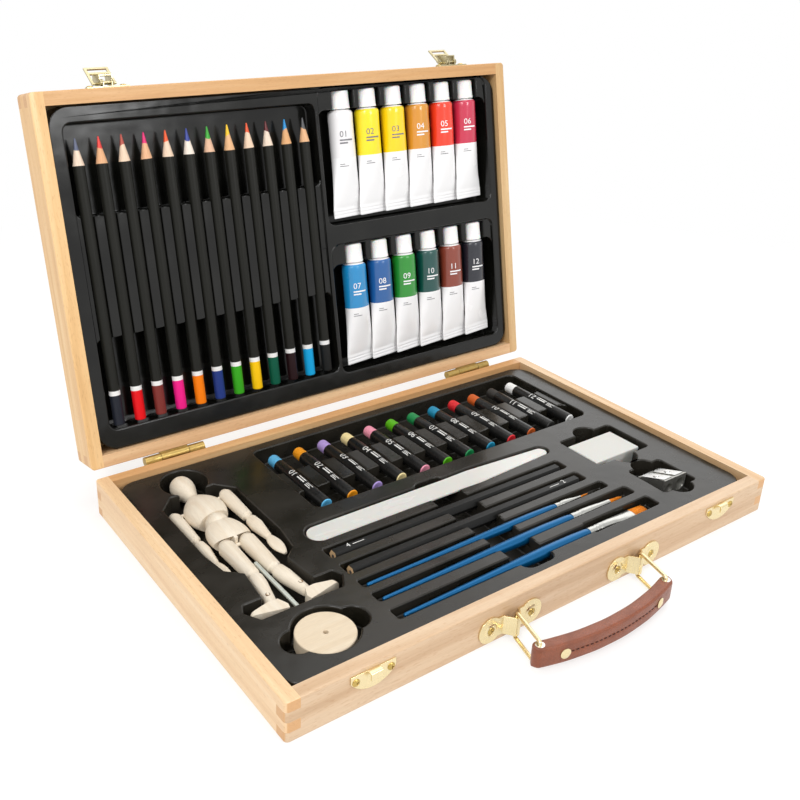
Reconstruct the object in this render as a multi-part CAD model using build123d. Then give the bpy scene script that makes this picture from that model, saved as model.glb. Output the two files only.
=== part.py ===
from build123d import *

import os
from math import atan2, cos, degrees, hypot, pi, radians, sin

# A wooden art set box, standing open: a finger-jointed case, black trays, colours, brushes and a
# jointed wooden figure. Millimetres, +Z up. The origin is the middle of the base's underside,
# +X runs along the hinge and +Y to the hinge.

# Case
CASE_WIDTH = 356.0
CASE_DEPTH = 224.5
BASE_HEIGHT = 23.5
LID_HEIGHT = 23.5
WALL = 8.0
PANEL = 3.2
REBATE = 4.0
CORNER_RADIUS = 2.5
EDGE_EASE = 0.8
FINGERS = 4
SEAM_GAP = 0.1
LID_OPEN = 101.5

# Clearances
RUNNING = 0.05
SEAT = 0.1
HOLE_SLACK = 0.05

# Trays, formed from one sheet each
SHEET = 1.0
TRAY_DROP = 3.4
TRAY_GAP = 0.5
TRAY_CORNER = 13.0
WELL_SLACK = 1.0
TOOL_SLACK = 0.8

# Hinges
HINGE_FROM_END = 54.2
HINGE_LENGTH = 41.0
HINGE_MIDDLE = 18.9
KNUCKLE_GAP = 0.3
PIN_BEHIND = 3.4
KNUCKLE_RADIUS = 2.9
HINGE_PIN_RADIUS = 1.1
LEAF = 1.0
LEAF_HEIGHT = 14.0
STOP_REACH = 3.6
STOP_WIDTH = 8.0
HINGE_SCREW_X = 12.5
HINGE_SCREW_DROP = 9.0

# Screws
SCREW_HEAD_RADIUS = 2.1
SCREW_HEAD = 0.8
SCREW_RADIUS = 1.1
SCREW_BITE = 4.0

# Catches on the base and latches on the lid
LATCH_FROM_END = 47.5
LATCH_SHEET = 0.8
MOON_WIDTH = 26.0
MOON_HEIGHT = 10.8
MOON_CHEEK = 4.0
MOON_FROM_SEAM = 2.3
MOON_SCREW_X = 10.1
MOON_SCREW_IN = 3.9
TONGUE_WIDTH = 7.0
TONGUE_OUT = 3.8
TONGUE_DROP = 4.2
LEVER_PIVOT = (3.0, 5.0)
LOOP_PIVOT = (2.6, 9.5)
LEVER_WIDTH = 8.4
LEVER_OUT = 7.6
LEVER_END = 16.0
LEVER_HEEL = 1.9
EAR_INSET = 0.3
LATCH_PIN_RADIUS = 0.9
LOOP_WIRE_RADIUS = 0.8
LOOP_SHEET = 1.0
LOOP_WIDTH = 15.0
LOOP_RAIL = 1.6
LOOP_LENGTH = 14.5
LOOP_STOP_BAR = 9.1
HOOK_GAP = 0.3

# Handle
HANDLE_X = 5.2
BRACKET_SPACING = 95.6
BRACKET_LOBE_RADIUS = 7.65
BRACKET_LOBE_X = 14.2
BRACKET_WAIST = 11.2
BRACKET_SHEET = 1.0
HANDLE_Z = 9.2
PIVOT_OUT = 4.5
WIRE_RADIUS = 1.1
BRIDGE_FOOT = 6.5
RING_LENGTH = 23.5
RING_HEIGHT = 15.1
RING_BEND = 1.2
HANDLE_SWING = -15.0
GRIP_RISE = 7.0
GRIP_THICKNESS = 7.6
GRIP_HEIGHT = 12.2
GRIP_EDGE = 1.3
GRIP_TUBE_RADIUS = 2.5
GRIP_TUBE_PROUD = 0.1
RIVET_INSET = 13.0
RIVET_HEAD_RADIUS = 3.0
RIVET_HEAD = 0.8
RIVET_RADIUS = 1.4

# Coloured pencils, in the lid
SET_COUNT = 12
PENCIL_FROM_END = 24.0
PENCIL_PITCH = 14.1
PENCIL_RADIUS = 3.5
PENCIL_LENGTH = 175.0
PENCIL_END_B = 22.8
PENCIL_CONE = 16.0
LEAD_RADIUS = 1.5
LEAD_TIP_RADIUS = 0.35
PENCIL_WELL_SIDES = (7.0, 8.4)
PENCIL_WELL_B = (21.0, 206.0)
PENCIL_PAD_B = (78.0, 152.0)
PAD_DROP = 1.6
WELL_DEEP = 11.5

# Paint tubes, in the lid
TUBES_IN_ROW = 6
TUBE_FROM_END = 33.0
TUBE_PITCH = 22.3
TUBE_TOP_B = (214.0, 108.5)
TUBE_RADIUS = 8.75
TUBE_LENGTH = 86.5
CAP_LENGTH = 13.0
CAP_RADIUS = 6.9
CAP_TOP_RADIUS = 5.8
NECK_RADIUS = 4.0
NECK_LENGTH = 8.0
NECK_GAP = 0.6
SHOULDER = 2.2
CRIMP = 6.5
CRIMP_SHEET = 1.2
TUBE_ROLL = 10.0
TUBE_REST = 0.3
TUBE_WELL_SIDES = (21.0, 16.5)
TUBE_WELL_SHORT = 4.0
TUBE_WELL_PAST = 1.4
TUBE_WELL_CORNER = 6.0
CAP_SLOT_WIDTH = 17.6

# Pastels, in the base
PASTEL_FIRST_X = -68.0
PASTEL_PITCH = 19.05
PASTEL_RADIUS = 4.25
PASTEL_LENGTH = 65.0
PASTEL_FRONT_Y = 22.0
SLEEVE = 0.3
SLEEVE_SHORT = 9.0
SLEEVE_FRONT = 0.6
PASTEL_WELL = (-78.5, 17.2, 152.5, 96.0)
PASTEL_PAD_Y = (40.0, 65.0)
PASTEL_WELL_DEEP = 12.0

# Long tools, in the base
GRAPHITE_Y = (-24.5, -41.5)
GRAPHITE_ACROSS = 7.0
GRAPHITE_LENGTH = 175.0
GRAPHITE_LEFT_X = -94.5
GRAPHITE_LEAD_RADIUS = 1.1
BRUSH_Y = (-56.6, -70.0, -86.2)
BRUSH_LEFT_X = (-94.5, -94.0, -92.5)
BRUSH_BUTT_RADIUS = 1.3
FERRULE_START_X = (46.0, 46.0, 43.0)
FERRULE_LENGTH = (22.0, 33.0, 38.0)
FERRULE_RADIUS = (2.2, 2.9, 3.1)
FERRULE_MOUTH = (1.6, 3.8, 8.6)
FERRULE_FLAT = (1.6, 3.8, 2.8)
FERRULE_SHEET = 0.35
BRISTLE_LENGTH = (7.0, 12.0, 12.5)
BELLY_RADIUS = (2.6, 3.2, 3.3)
TUFT_ROOT = 1.0
STRAND_PITCH = (0.17, 0.22, 0.25)
STRAND_FILL = 0.7
TUFT_GATHER = (0.5, 0.55, 0.9)
TUFT_DOME = (0.5, 0.45, 0.12)
GROOVE_LEFT_X = -98.5
GROOVE_RIGHT_X = (84.0, 84.0, 89.0, 97.5, 100.0)
CHANNEL = (-15.5, -96.0, 7.5, 7.0)
CHANNEL_DEPTH = 13.0
KNIFE_X = (-98.0, 89.5)
KNIFE_Y = -4.3
KNIFE_HANDLE_WIDTH = 14.8
KNIFE_BLADE_WIDTH = 15.8
KNIFE_TIP_WIDTH = 8.6
KNIFE_WAIST_X = 6.0
KNIFE_BELLY_X = 27.0
KNIFE_SHEET = 1.3
KNIFE_DROP = 1.1

# Eraser and sharpener, in the base
ERASER_FROM_END = 49.5
ERASER_Y = -21.2
ERASER_SIZE = (42.0, 26.0, 11.0)
ERASER_ROUND = 0.8
ERASER_TOP = 18.0
ERASER_WELL_SIDES = (3.0, 5.0)
ERASER_SCOOPS = ((1.1, 16.7), (-0.5, -17.4))
ERASER_SCOOP_RADIUS = 9.2
SHARPENER_SCOOPS = ((-0.5, 13.0), (0.4, -13.0))
SHARPENER_SCOOP_RADIUS = 9.0
SHARPENER_FROM_END = 49.3
SHARPENER_Y = -70.0
SHARPENER_SIZE = (21.0, 20.5, 14.0)
SHARPENER_BACK = 6.8
SHARPENER_TOP = 24.0
SHARPENER_HOLE_X = (-5.6, 5.2)
SHARPENER_HOLE_RADIUS = (3.3, 4.5)
SHARPENER_HOLE_DROP = 6.6
SHARPENER_GRIP_RADIUS = 34.0
SHARPENER_GRIP_CUT = 1.4
BLADE_SIZE = (7.6, 18.0, 0.6)
BLADE_SCREW_RADIUS = 1.9
BLADE_SCREW_HEAD = 0.6
SHARPENER_WELL_SIDE = 4.5
SCOOP_DEPTH = 12.5

# Jointed wooden figure, its round stand and its rod, in the base
FIGURE_FROM_END = 46.4
FIGURE_Z = 13.6
FIGURE_ROLL = -9.4
HEAD_TOP_Y = 97.0
HEAD_LENGTH = 22.5
HEAD_RADIUS = 7.4
NECK_RADIUS_WOOD = 3.4
CHEST_Y = (46.5, 71.5)
CHEST_HALF_WIDTH = 12.5
CHEST_HALF_THICK = 7.0
WAIST_RADIUS = 7.2
WAIST_Y = 42.0
PELVIS_Y = (18.5, 38.5)
PELVIS_HALF_WIDTH = 12.4
PELVIS_HALF_THICK = 6.4
SHOULDER_Y = 63.5
ARM_X = 17.1
ARM_RADIUS = 4.2
ARM_GAP = 0.4
ELBOW_Y = 34.0
WRIST_Y = 10.5
HAND_TIP_Y = -7.5
SHOULDER_PEG_RADIUS = 1.2
SHOULDER_PEG_BITE = 2.5
HIP_X = 6.6
HIP_Y = 17.5
LEG_RADIUS = 5.2
SOCKET_GAP = 0.4
CROTCH = 2.0
KNEE_Y = -14.0
ANKLE_Y = -38.5
ANKLE_X = 10.4
FOOT_HEEL = 6.5
FOOT_TOE = 14.0
FOOT_WIDTH = 9.0
FOOT_HEIGHT = 11.0
FOOT_TURN = 13.0
FIGURE_SLACK = 2.6
HEAD_WELL_RADIUS = 14.5
STAND_LEFT = 1.8
STAND_Y = -76.5
STAND_RADIUS = 15.8
STAND_THICK = 8.0
STAND_TOP = 18.2
STAND_HOLE_RADIUS = 1.3
STAND_WELL_SIDE = 1.7
STAND_SCOOP_X = 16.0
STAND_SCOOP_RADIUS = 8.7
ROD_RADIUS = 1.25
ROD_Y = (-51.0, -3.0)

# Worked out from the driving sizes
SEAM_Z = BASE_HEIGHT
FRONT_Y = -CASE_DEPTH / 2
BACK_Y = CASE_DEPTH / 2
PIN_Y = BACK_Y + PIN_BEHIND
PIN_Z = SEAM_Z + SEAM_GAP / 2
TRAY_TOP = BASE_HEIGHT - TRAY_DROP
TRAY_REACH = TRAY_TOP - PANEL
LID_TRAY_REACH = LID_HEIGHT - TRAY_DROP - PANEL
INNER_WIDTH = CASE_WIDTH - 2 * WALL
INNER_DEPTH = CASE_DEPTH - 2 * WALL
SIDES = {"left": -1, "right": 1}
HINGE_X = CASE_WIDTH / 2 - HINGE_FROM_END
LATCH_X = CASE_WIDTH / 2 - LATCH_FROM_END
PENCIL_FIRST_X = PENCIL_FROM_END - CASE_WIDTH / 2
PENCIL_LAST_X = PENCIL_FIRST_X + (SET_COUNT - 1) * PENCIL_PITCH
TUBE_LAST_X = CASE_WIDTH / 2 - TUBE_FROM_END
TUBE_FIRST_X = TUBE_LAST_X - (TUBES_IN_ROW - 1) * TUBE_PITCH
TUBE_WELL_X = (TUBE_FIRST_X - TUBE_WELL_SIDES[0], CASE_WIDTH / 2 - TUBE_WELL_SIDES[1])
ERASER_AT = (CASE_WIDTH / 2 - ERASER_FROM_END, ERASER_Y)
SHARPENER_AT = (CASE_WIDTH / 2 - SHARPENER_FROM_END, SHARPENER_Y)
FIGURE_X = FIGURE_FROM_END - CASE_WIDTH / 2
STAND_AT = (FIGURE_X - STAND_LEFT, STAND_Y)
FIGURE_DEPTH = TRAY_TOP - FIGURE_Z + HEAD_RADIUS + 2 * SEAT

NODES = {}


def keep(name, *solids):
    """File the solids of one sub-part under its name, each piece its own solid."""
    pieces = [s for shape in solids for s in shape.solids()]
    NODES.setdefault(name, []).extend(pieces)


def opened(shape):
    """Swing a closed-lid shape up to the resting angle about the hinge pins."""
    pin = Pos(0, PIN_Y, PIN_Z)
    return pin * Rot(-LID_OPEN, 0, 0) * Pos(0, -PIN_Y, -PIN_Z) * shape


def in_lid(shape):
    """Place a shape drawn in the lid's plan: the rim at height 0, +Y towards the free edge, facing up."""
    return opened(Pos(0, 0, SEAM_Z + SEAM_GAP) * Rot(180, 0, 0) * shape)


def lid_y(b):
    """The plan's Y of a point that lies b from the lid's hinge side."""
    return b - CASE_DEPTH / 2


def front_profile(profile, x_from, x_to):
    """Run a profile, drawn out from and up from the seam on the front face, along X between two stations."""
    plane = Plane(origin=(x_to, FRONT_Y, SEAM_Z), x_dir=(0, -1, 0), z_dir=(-1, 0, 0))
    return extrude(plane * profile, x_to - x_from)


def area(x0, y0, x1, y1, corner):
    """A rounded rectangle between two opposite corners."""
    return Pos((x0 + x1) / 2, (y0 + y1) / 2) * RectangleRounded(x1 - x0, y1 - y0, corner)


def lathe(points):
    """Turn an outline of (radius, along) points about the Y axis."""
    return revolve(make_face(Polyline(*points, close=True)), Axis.Y)


# Case


def half_case(height):
    """The four walls of one half, outer face at height 0, as one ring before the joints are cut."""
    block = extrude(RectangleRounded(CASE_WIDTH, CASE_DEPTH, CORNER_RADIUS), height)
    levels = block.edges().group_by(Axis.Z)
    block = fillet(levels[0] + levels[-1], EDGE_EASE)
    hollow = Pos(0, 0, height / 2) * Box(INNER_WIDTH, INNER_DEPTH, height)
    return block - hollow - panel()


def panel():
    """The thin board that closes one half, flush in its rebate."""
    board = Box(INNER_WIDTH + 2 * REBATE, INNER_DEPTH + 2 * REBATE, PANEL)
    return Pos(0, 0, PANEL / 2) * board


def side_fingers(height, side):
    """The blocks at two corners where a side wall's fingers run through to the outer faces."""
    pitch = height / FINGERS
    blocks = []
    for level in range(1, FINGERS, 2):
        for end in (-1, 1):
            at = (side * (CASE_WIDTH - WALL) / 2, end * (CASE_DEPTH - WALL) / 2, pitch * (level + 0.5))
            blocks.append(Pos(*at) * Box(WALL, WALL, pitch))
    return blocks


def walls(height):
    """Front, back, left and right walls of one half, fingered together."""
    ring = half_case(height)
    made = {}
    for side, sign in SIDES.items():
        board = Pos(sign * (CASE_WIDTH - WALL) / 2, 0, height / 2) * Box(WALL, INNER_DEPTH, height)
        made[side] = ring & (board + side_fingers(height, sign))
    for end, sign in {"front": -1, "back": 1}.items():
        board = Pos(0, sign * (CASE_DEPTH - WALL) / 2, height / 2) * Box(CASE_WIDTH, WALL, height)
        made[end] = ring & (board - side_fingers(height, -1) - side_fingers(height, 1))
    return made


def formed_tray(wells, reach):
    """A vacuum-formed tray with its flat top at height 0: one sheet with wells and a skirt to the panel."""
    face = RectangleRounded(INNER_WIDTH - 2 * TRAY_GAP, INNER_DEPTH - 2 * TRAY_GAP, TRAY_CORNER)
    tray = extrude(face, -reach) - extrude(offset(face, -SHEET), -reach)
    tray += extrude(face, -SHEET)
    for outline, depth in wells:
        tray += extrude(offset(outline, SHEET), -(depth + SHEET))
    for outline, depth in wells:
        tray -= extrude(outline, -depth)
    return tray


# Screws


def screw():
    """A domed wood screw pointing down, its head's underside at height 0."""
    crown = SCREW_HEAD_RADIUS * 0.5
    outline = [(0, -SCREW_BITE), (SCREW_RADIUS, -SCREW_BITE), (SCREW_RADIUS, 0), (SCREW_HEAD_RADIUS, 0)]
    outline += [(SCREW_HEAD_RADIUS, SCREW_HEAD * 0.4), (crown, SCREW_HEAD), (0, SCREW_HEAD)]
    return Rot(90, 0, 0) * lathe(outline)


def screw_hole():
    """The pilot hole for one screw, through the plate and into the wood."""
    deep = SCREW_BITE + SEAT
    return Pos(0, 0, -deep / 2) * Cylinder(SCREW_RADIUS + HOLE_SLACK, deep)


def facing_front(x, z, out):
    """The place of a screw in the front face, its head out from the wood."""
    return Pos(x, FRONT_Y - out, z) * Rot(90, 0, 0)


def facing_back(x, z, out):
    """The place of a screw in the back face, its head out from the wood."""
    return Pos(x, BACK_Y + out, z) * Rot(-90, 0, 0)


# Hinges


def knuckle(x, length, bore):
    """One barrel of a hinge, centred at x, with its bore."""
    barrel = Cylinder(KNUCKLE_RADIUS, length) - Cylinder(bore, length)
    return Pos(x, PIN_Y, PIN_Z) * Rot(0, 90, 0) * barrel


def leaf_plate(x, length, z_from, z_to):
    """A flat of a leaf on the back face."""
    size = Box(length, LEAF, z_to - z_from)
    return Pos(x, BACK_Y + LEAF / 2, (z_from + z_to) / 2) * size


def hinge(side):
    """The two leaves and the pin of one hinge, lid closed."""
    at = SIDES[side] * HINGE_X
    outer = (HINGE_LENGTH - HINGE_MIDDLE) / 2 - KNUCKLE_GAP
    outer_x = (HINGE_LENGTH - outer) / 2
    clear = KNUCKLE_RADIUS + KNUCKLE_GAP
    bore = HINGE_PIN_RADIUS + RUNNING
    base = leaf_plate(at, HINGE_LENGTH, PIN_Z - LEAF_HEIGHT, PIN_Z - clear)
    lid = leaf_plate(at, HINGE_LENGTH, PIN_Z + clear, PIN_Z + LEAF_HEIGHT)
    for x in (at - outer_x, at + outer_x):
        base += leaf_plate(x, outer, PIN_Z - clear, PIN_Z) + knuckle(x, outer, bore)
    lid += leaf_plate(at, HINGE_MIDDLE, PIN_Z, PIN_Z + clear) + knuckle(at, HINGE_MIDDLE, bore)
    lid += stop_lug(at)
    for x in (at - HINGE_SCREW_X, at + HINGE_SCREW_X):
        base -= facing_back(x, PIN_Z - HINGE_SCREW_DROP, LEAF) * screw_hole()
        lid -= facing_back(x, PIN_Z + HINGE_SCREW_DROP, LEAF) * screw_hole()
    pin = Pos(at, PIN_Y, PIN_Z) * Rot(0, 90, 0) * Cylinder(HINGE_PIN_RADIUS, HINGE_LENGTH)
    return base, opened(lid), pin


def stop_lug(at):
    """The lug on the lid's knuckle that meets the base's leaf when the lid is fully open."""
    low = KNUCKLE_RADIUS + STOP_REACH
    high = (KNUCKLE_RADIUS + HINGE_PIN_RADIUS) / 2
    middle = Pos(at, BACK_Y + LEAF + SEAT + LEAF / 2, PIN_Z - (low + high) / 2)
    lug = middle * Box(STOP_WIDTH, LEAF, low - high)
    return Pos(0, PIN_Y, PIN_Z) * Rot(LID_OPEN, 0, 0) * Pos(0, -PIN_Y, -PIN_Z) * lug


# Catches and latches


def moon_outline():
    """The half-moon of a catch or latch plate, straight edge on the X axis, hanging down."""
    half = MOON_WIDTH / 2
    edge = Polyline((-half, -MOON_CHEEK), (-half, 0), (half, 0), (half, -MOON_CHEEK))
    belly = ThreePointArc((half, -MOON_CHEEK), (0, -MOON_HEIGHT), (-half, -MOON_CHEEK))
    return make_face(edge + belly)


def moon_plate(x, up):
    """A half-moon plate on the front face, its straight edge near the seam, below it or above it."""
    turn = 90 if up < 0 else -90
    moon = Rot(turn, 0, 0) * extrude(moon_outline(), LATCH_SHEET * (1 if up < 0 else -1))
    plate = Pos(x, FRONT_Y, SEAM_Z + up * MOON_FROM_SEAM) * moon
    for sx in (x - MOON_SCREW_X, x + MOON_SCREW_X):
        plate -= facing_front(sx, moon_screw_z(up), LATCH_SHEET) * screw_hole()
    return plate


def moon_screw_z(up):
    """The height of a half-moon plate's two screws."""
    return SEAM_Z + up * (MOON_FROM_SEAM + MOON_SCREW_IN)


def catch(x):
    """The base's half-moon plate with the tongue pressed out of it, its mouth downward."""
    top = -MOON_FROM_SEAM
    t = LATCH_SHEET
    strip = [(0, top - t), (0, top), (TONGUE_OUT, top), (TONGUE_OUT, top - TONGUE_DROP)]
    strip += [(TONGUE_OUT - t, top - TONGUE_DROP), (TONGUE_OUT - t, top - t)]
    hook = front_profile(make_face(Polyline(*strip, close=True)), x - TONGUE_WIDTH / 2, x + TONGUE_WIDTH / 2)
    nose = hook.edges().filter_by(Axis.X).group_by(Axis.Y)[0].group_by(Axis.Z)[-1]
    return moon_plate(x, -1) + fillet(nose, t * 1.5)


def cheek_outline():
    """The side of the latch lever: a heel round the pivot, and a flat body up to its tip."""
    pu, pv = LEVER_PIVOT
    low = pu - LEVER_HEEL
    body = [(low, pv), (low, LOOP_PIVOT[1] + 3), (LEVER_OUT / 2, LEVER_END), (LEVER_OUT, LEVER_END)]
    body += [(LEVER_OUT, pv)]
    outline = make_face(Polyline(*body, close=True)) + Pos(pu, pv) * Circle(LEVER_HEEL)
    return outline


def latch_lever(x):
    """The latch's channel-shaped lever: two cheeks under a web, open at the front."""
    half = LEVER_WIDTH / 2
    web = Pos((LEVER_OUT - LATCH_SHEET / 2), (LEVER_PIVOT[1] + LEVER_END) / 2)
    web = web * Rectangle(LATCH_SHEET, LEVER_END - LEVER_PIVOT[1])
    lever = front_profile(web, x - half, x + half)
    for sign in (-1, 1):
        near, far = sorted((x + sign * half, x + sign * (half - LATCH_SHEET)))
        lever += front_profile(cheek_outline(), near, far)
    lever -= front_profile(Pos(*LEVER_PIVOT) * Circle(LATCH_PIN_RADIUS + RUNNING), x - half, x + half)
    lever -= front_profile(Pos(*LOOP_PIVOT) * Circle(LOOP_WIRE_RADIUS + RUNNING), x - half, x + half)
    return lever


def latch_plate(x):
    """The lid's half-moon plate with two ears that hold the lever's pin."""
    plate = moon_plate(x, 1)
    outer = LEVER_WIDTH / 2 - LATCH_SHEET - EAR_INSET
    pu, pv = LEVER_PIVOT
    ear = Pos(pu / 2, pv) * Rectangle(pu, 2 * LEVER_HEEL) + Pos(pu, pv) * Circle(LEVER_HEEL)
    ear -= Pos(pu, pv) * Circle(LATCH_PIN_RADIUS)
    for sign in (-1, 1):
        near, far = sorted((x + sign * outer, x + sign * (outer - LATCH_SHEET)))
        plate += front_profile(ear, near, far)
    return plate


def latch_loop(x):
    """The flat loop: two rails, a stop bar and a hooking bar, on a wire through the lever's cheeks."""
    pu, pv = LOOP_PIVOT
    half = LOOP_WIDTH / 2
    t = LOOP_SHEET
    loop = front_profile(Pos(pu, pv + LOOP_LENGTH / 2) * Rectangle(t, LOOP_LENGTH), x - half, x + half)
    inner = half - LOOP_RAIL
    gaps = [(-t, LOOP_STOP_BAR - LOOP_RAIL / 2)]
    gaps.append((LOOP_STOP_BAR + LOOP_RAIL / 2, LOOP_LENGTH - LOOP_RAIL))
    for low, high in gaps:
        window = Pos(pu, pv + (low + high) / 2) * Rectangle(2 * t, high - low)
        loop -= front_profile(window, x - inner, x + inner)
    loop += front_profile(Pos(pu, pv) * Circle(LOOP_WIRE_RADIUS), x - half, x + half)
    return turned(loop, pu, pv, loop_lean())


def turned(shape, out, up, angle):
    """Turn a front-face shape outwards about a pivot on X."""
    y, z = FRONT_Y - out, SEAM_Z + up
    return Pos(0, y, z) * Rot(angle, 0, 0) * Pos(0, -y, -z) * shape


def loop_lean():
    """The angle at which the thrown-back loop's stop bar lies on the lever's tip."""
    du = LEVER_OUT - LOOP_PIVOT[0]
    dv = LEVER_END - LOOP_PIVOT[1]
    return degrees(atan2(du, dv) + (LOOP_SHEET / 2 + SEAT) / hypot(du, dv))


def loop_hook_turn():
    """How far the loop turns from thrown back to hooked under the tongue, lid closed."""
    bar_up = -MOON_FROM_SEAM - LATCH_SHEET - HOOK_GAP - LOOP_RAIL / 2
    drop = LOOP_PIVOT[1] - bar_up
    return 180 + degrees(atan2(LOOP_PIVOT[0] - TONGUE_OUT / 2, drop)) - loop_lean()


# Handle


def bracket(x):
    """A strap bracket: two lobes with screws and a raised fold between them that holds the ring."""
    lobe = Circle(BRACKET_LOBE_RADIUS)
    outline = Rectangle(2 * BRACKET_LOBE_X, BRACKET_WAIST)
    outline += Pos(BRACKET_LOBE_X, 0) * lobe + Pos(-BRACKET_LOBE_X, 0) * lobe
    length = 2 * (BRACKET_LOBE_X + BRACKET_LOBE_RADIUS)
    room = WIRE_RADIUS + RUNNING * 4
    strap = Pos(0, BRACKET_SHEET / 2) * Rectangle(length, BRACKET_SHEET)
    strap += fold(BRIDGE_FOOT, room + BRACKET_SHEET)
    strap -= fold(BRIDGE_FOOT - BRACKET_SHEET * 1.3, room)
    tall = 2 * BRACKET_LOBE_RADIUS
    run = Pos(0, 0, -tall / 2) * extrude(strap, tall)
    run &= Rot(90, 0, 0) * extrude(outline, -2 * PIVOT_OUT)
    plate = Pos(x, FRONT_Y, HANDLE_Z) * Rot(180, 0, 0) * run
    for sx in (x - BRACKET_LOBE_X, x + BRACKET_LOBE_X):
        plate -= facing_front(sx, HANDLE_Z, BRACKET_SHEET) * screw_hole()
    return plate


def fold(foot, nose):
    """The fold's section: straight flanks from the feet to a round nose about the ring's wire."""
    reach = hypot(foot, PIVOT_OUT)
    lean = atan2(PIVOT_OUT, foot) + atan2(nose, (reach**2 - nose**2) ** 0.5)
    tx, ty = nose * sin(lean), PIVOT_OUT + nose * cos(lean)
    flanks = make_face(Polyline((-foot, 0), (foot, 0), (tx, ty), (-tx, ty), close=True))
    return flanks + Pos(0, PIVOT_OUT) * Circle(nose)


def ring(x):
    """A wire ring, from the bracket's fold to the grip's tube, at the resting swing."""
    loop = RectangleRounded(RING_LENGTH, RING_HEIGHT, RING_BEND)
    path = (Pos(RING_LENGTH / 2, 0) * loop).wires()[0]
    wire = sweep(Plane(origin=path @ 0, z_dir=path % 0) * Circle(WIRE_RADIUS), path)
    upright = Rot(90, 0, 0) * wire
    return Pos(x, FRONT_Y - PIVOT_OUT, HANDLE_Z) * Rot(0, 0, HANDLE_SWING - 90) * upright


def grip_pivot(x):
    """Where the grip's tube stands at the resting swing, for the bracket at x."""
    swing = radians(HANDLE_SWING)
    return x + RING_LENGTH * sin(swing), FRONT_Y - PIVOT_OUT - RING_LENGTH * cos(swing)


def grip_arc():
    """The bowed centre line of the grip, between its two tubes."""
    x0, y0 = grip_pivot(HANDLE_X - BRACKET_SPACING / 2)
    x1, y1 = grip_pivot(HANDLE_X + BRACKET_SPACING / 2)
    return ThreePointArc((x0, y0), ((x0 + x1) / 2, y0 - GRIP_RISE), (x1, y1))


def grip():
    """The leather grip, its two metal tubes and its rivets."""
    arc = grip_arc()
    band = Pos(0, 0, HANDLE_Z - GRIP_HEIGHT / 2) * extrude(SlotArc(arc, GRIP_THICKNESS), GRIP_HEIGHT)
    levels = band.edges().group_by(Axis.Z)
    band = fillet(levels[0] + levels[-1], GRIP_EDGE)
    tubes, rivets = [], []
    for end in (0, 1):
        at = Pos(*tuple(arc @ end)[:2], HANDLE_Z)
        band -= at * Cylinder(GRIP_TUBE_RADIUS, GRIP_HEIGHT)
        tall = GRIP_HEIGHT + 2 * GRIP_TUBE_PROUD
        tubes.append(at * (Cylinder(GRIP_TUBE_RADIUS, tall) - Cylinder(WIRE_RADIUS + RUNNING, tall)))
        along = RIVET_INSET / arc.length if end == 0 else 1 - RIVET_INSET / arc.length
        spot, run = arc @ along, arc % along
        place = Plane(origin=(spot.X, spot.Y, HANDLE_Z), x_dir=(0, 0, 1), z_dir=(run.Y, -run.X, 0))
        band -= place * Cylinder(RIVET_RADIUS, 2 * GRIP_THICKNESS)
        rivets.append(place * rivet())
    return band, tubes, rivets


def rivet():
    """A rivet through the grip, with a low domed head on each face."""
    half = GRIP_THICKNESS / 2 + HOLE_SLACK
    rim = RIVET_HEAD_RADIUS
    outline = [(0, -half - RIVET_HEAD), (rim * 0.5, -half - RIVET_HEAD), (rim, -half - 0.2), (rim, -half)]
    outline += [(RIVET_RADIUS, -half), (RIVET_RADIUS, half), (rim, half), (rim, half + 0.2)]
    outline += [(rim * 0.5, half + RIVET_HEAD), (0, half + RIVET_HEAD)]
    return Rot(90, 0, 0) * lathe(outline)


# Colours in the lid


def pencil_x(index):
    """The place of one coloured pencil along the lid."""
    return PENCIL_FIRST_X + index * PENCIL_PITCH


def pencil_place(index):
    """One pencil's blunt end, with its length along +Y, in the lid's plan."""
    drop = TRAY_DROP + SEAT + PENCIL_RADIUS
    return Pos(pencil_x(index), lid_y(PENCIL_END_B), -drop)


def pencil():
    """A round coloured pencil: the wood with its sharpened cone, and the lead through it."""
    lead_at = PENCIL_LENGTH - PENCIL_CONE * LEAD_RADIUS / PENCIL_RADIUS
    wood = [(LEAD_RADIUS, 0), (PENCIL_RADIUS, 0), (PENCIL_RADIUS, PENCIL_LENGTH - PENCIL_CONE)]
    wood += [(LEAD_RADIUS, lead_at)]
    lead = [(0, 0), (LEAD_RADIUS, 0), (LEAD_RADIUS, lead_at)]
    lead += [(LEAD_TIP_RADIUS, PENCIL_LENGTH), (0, PENCIL_LENGTH)]
    return lathe(wood), lathe(lead)


def paint_tube():
    """A paint tube along +Y, crimped end at 0: round at the shoulder, flat at the crimp."""
    crimp_half = pi * TUBE_RADIUS / 2
    shoulder_y = TUBE_LENGTH - CAP_LENGTH - NECK_GAP - SHOULDER
    stations = [
        (CRIMP, crimp_half, CRIMP_SHEET / 2),
        (CRIMP + 16, TUBE_RADIUS * 1.36, TUBE_RADIUS * 0.48),
        (CRIMP + 34, TUBE_RADIUS * 1.12, TUBE_RADIUS * 0.85),
        (shoulder_y, TUBE_RADIUS, TUBE_RADIUS),
    ]
    rings = [Plane.XZ.offset(-y) * Ellipse(a, b) for y, a, b in stations]
    body = loft(rings)
    body += Pos(0, (CRIMP + SEAT) / 2, 0) * Box(2 * crimp_half, CRIMP + SEAT, CRIMP_SHEET)
    neck_y = shoulder_y + SHOULDER
    top = [(0, shoulder_y), (TUBE_RADIUS, shoulder_y), (CAP_RADIUS - 1, neck_y), (NECK_RADIUS, neck_y)]
    top += [(NECK_RADIUS, neck_y + NECK_LENGTH), (0, neck_y + NECK_LENGTH)]
    return body + lathe(top)


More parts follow.
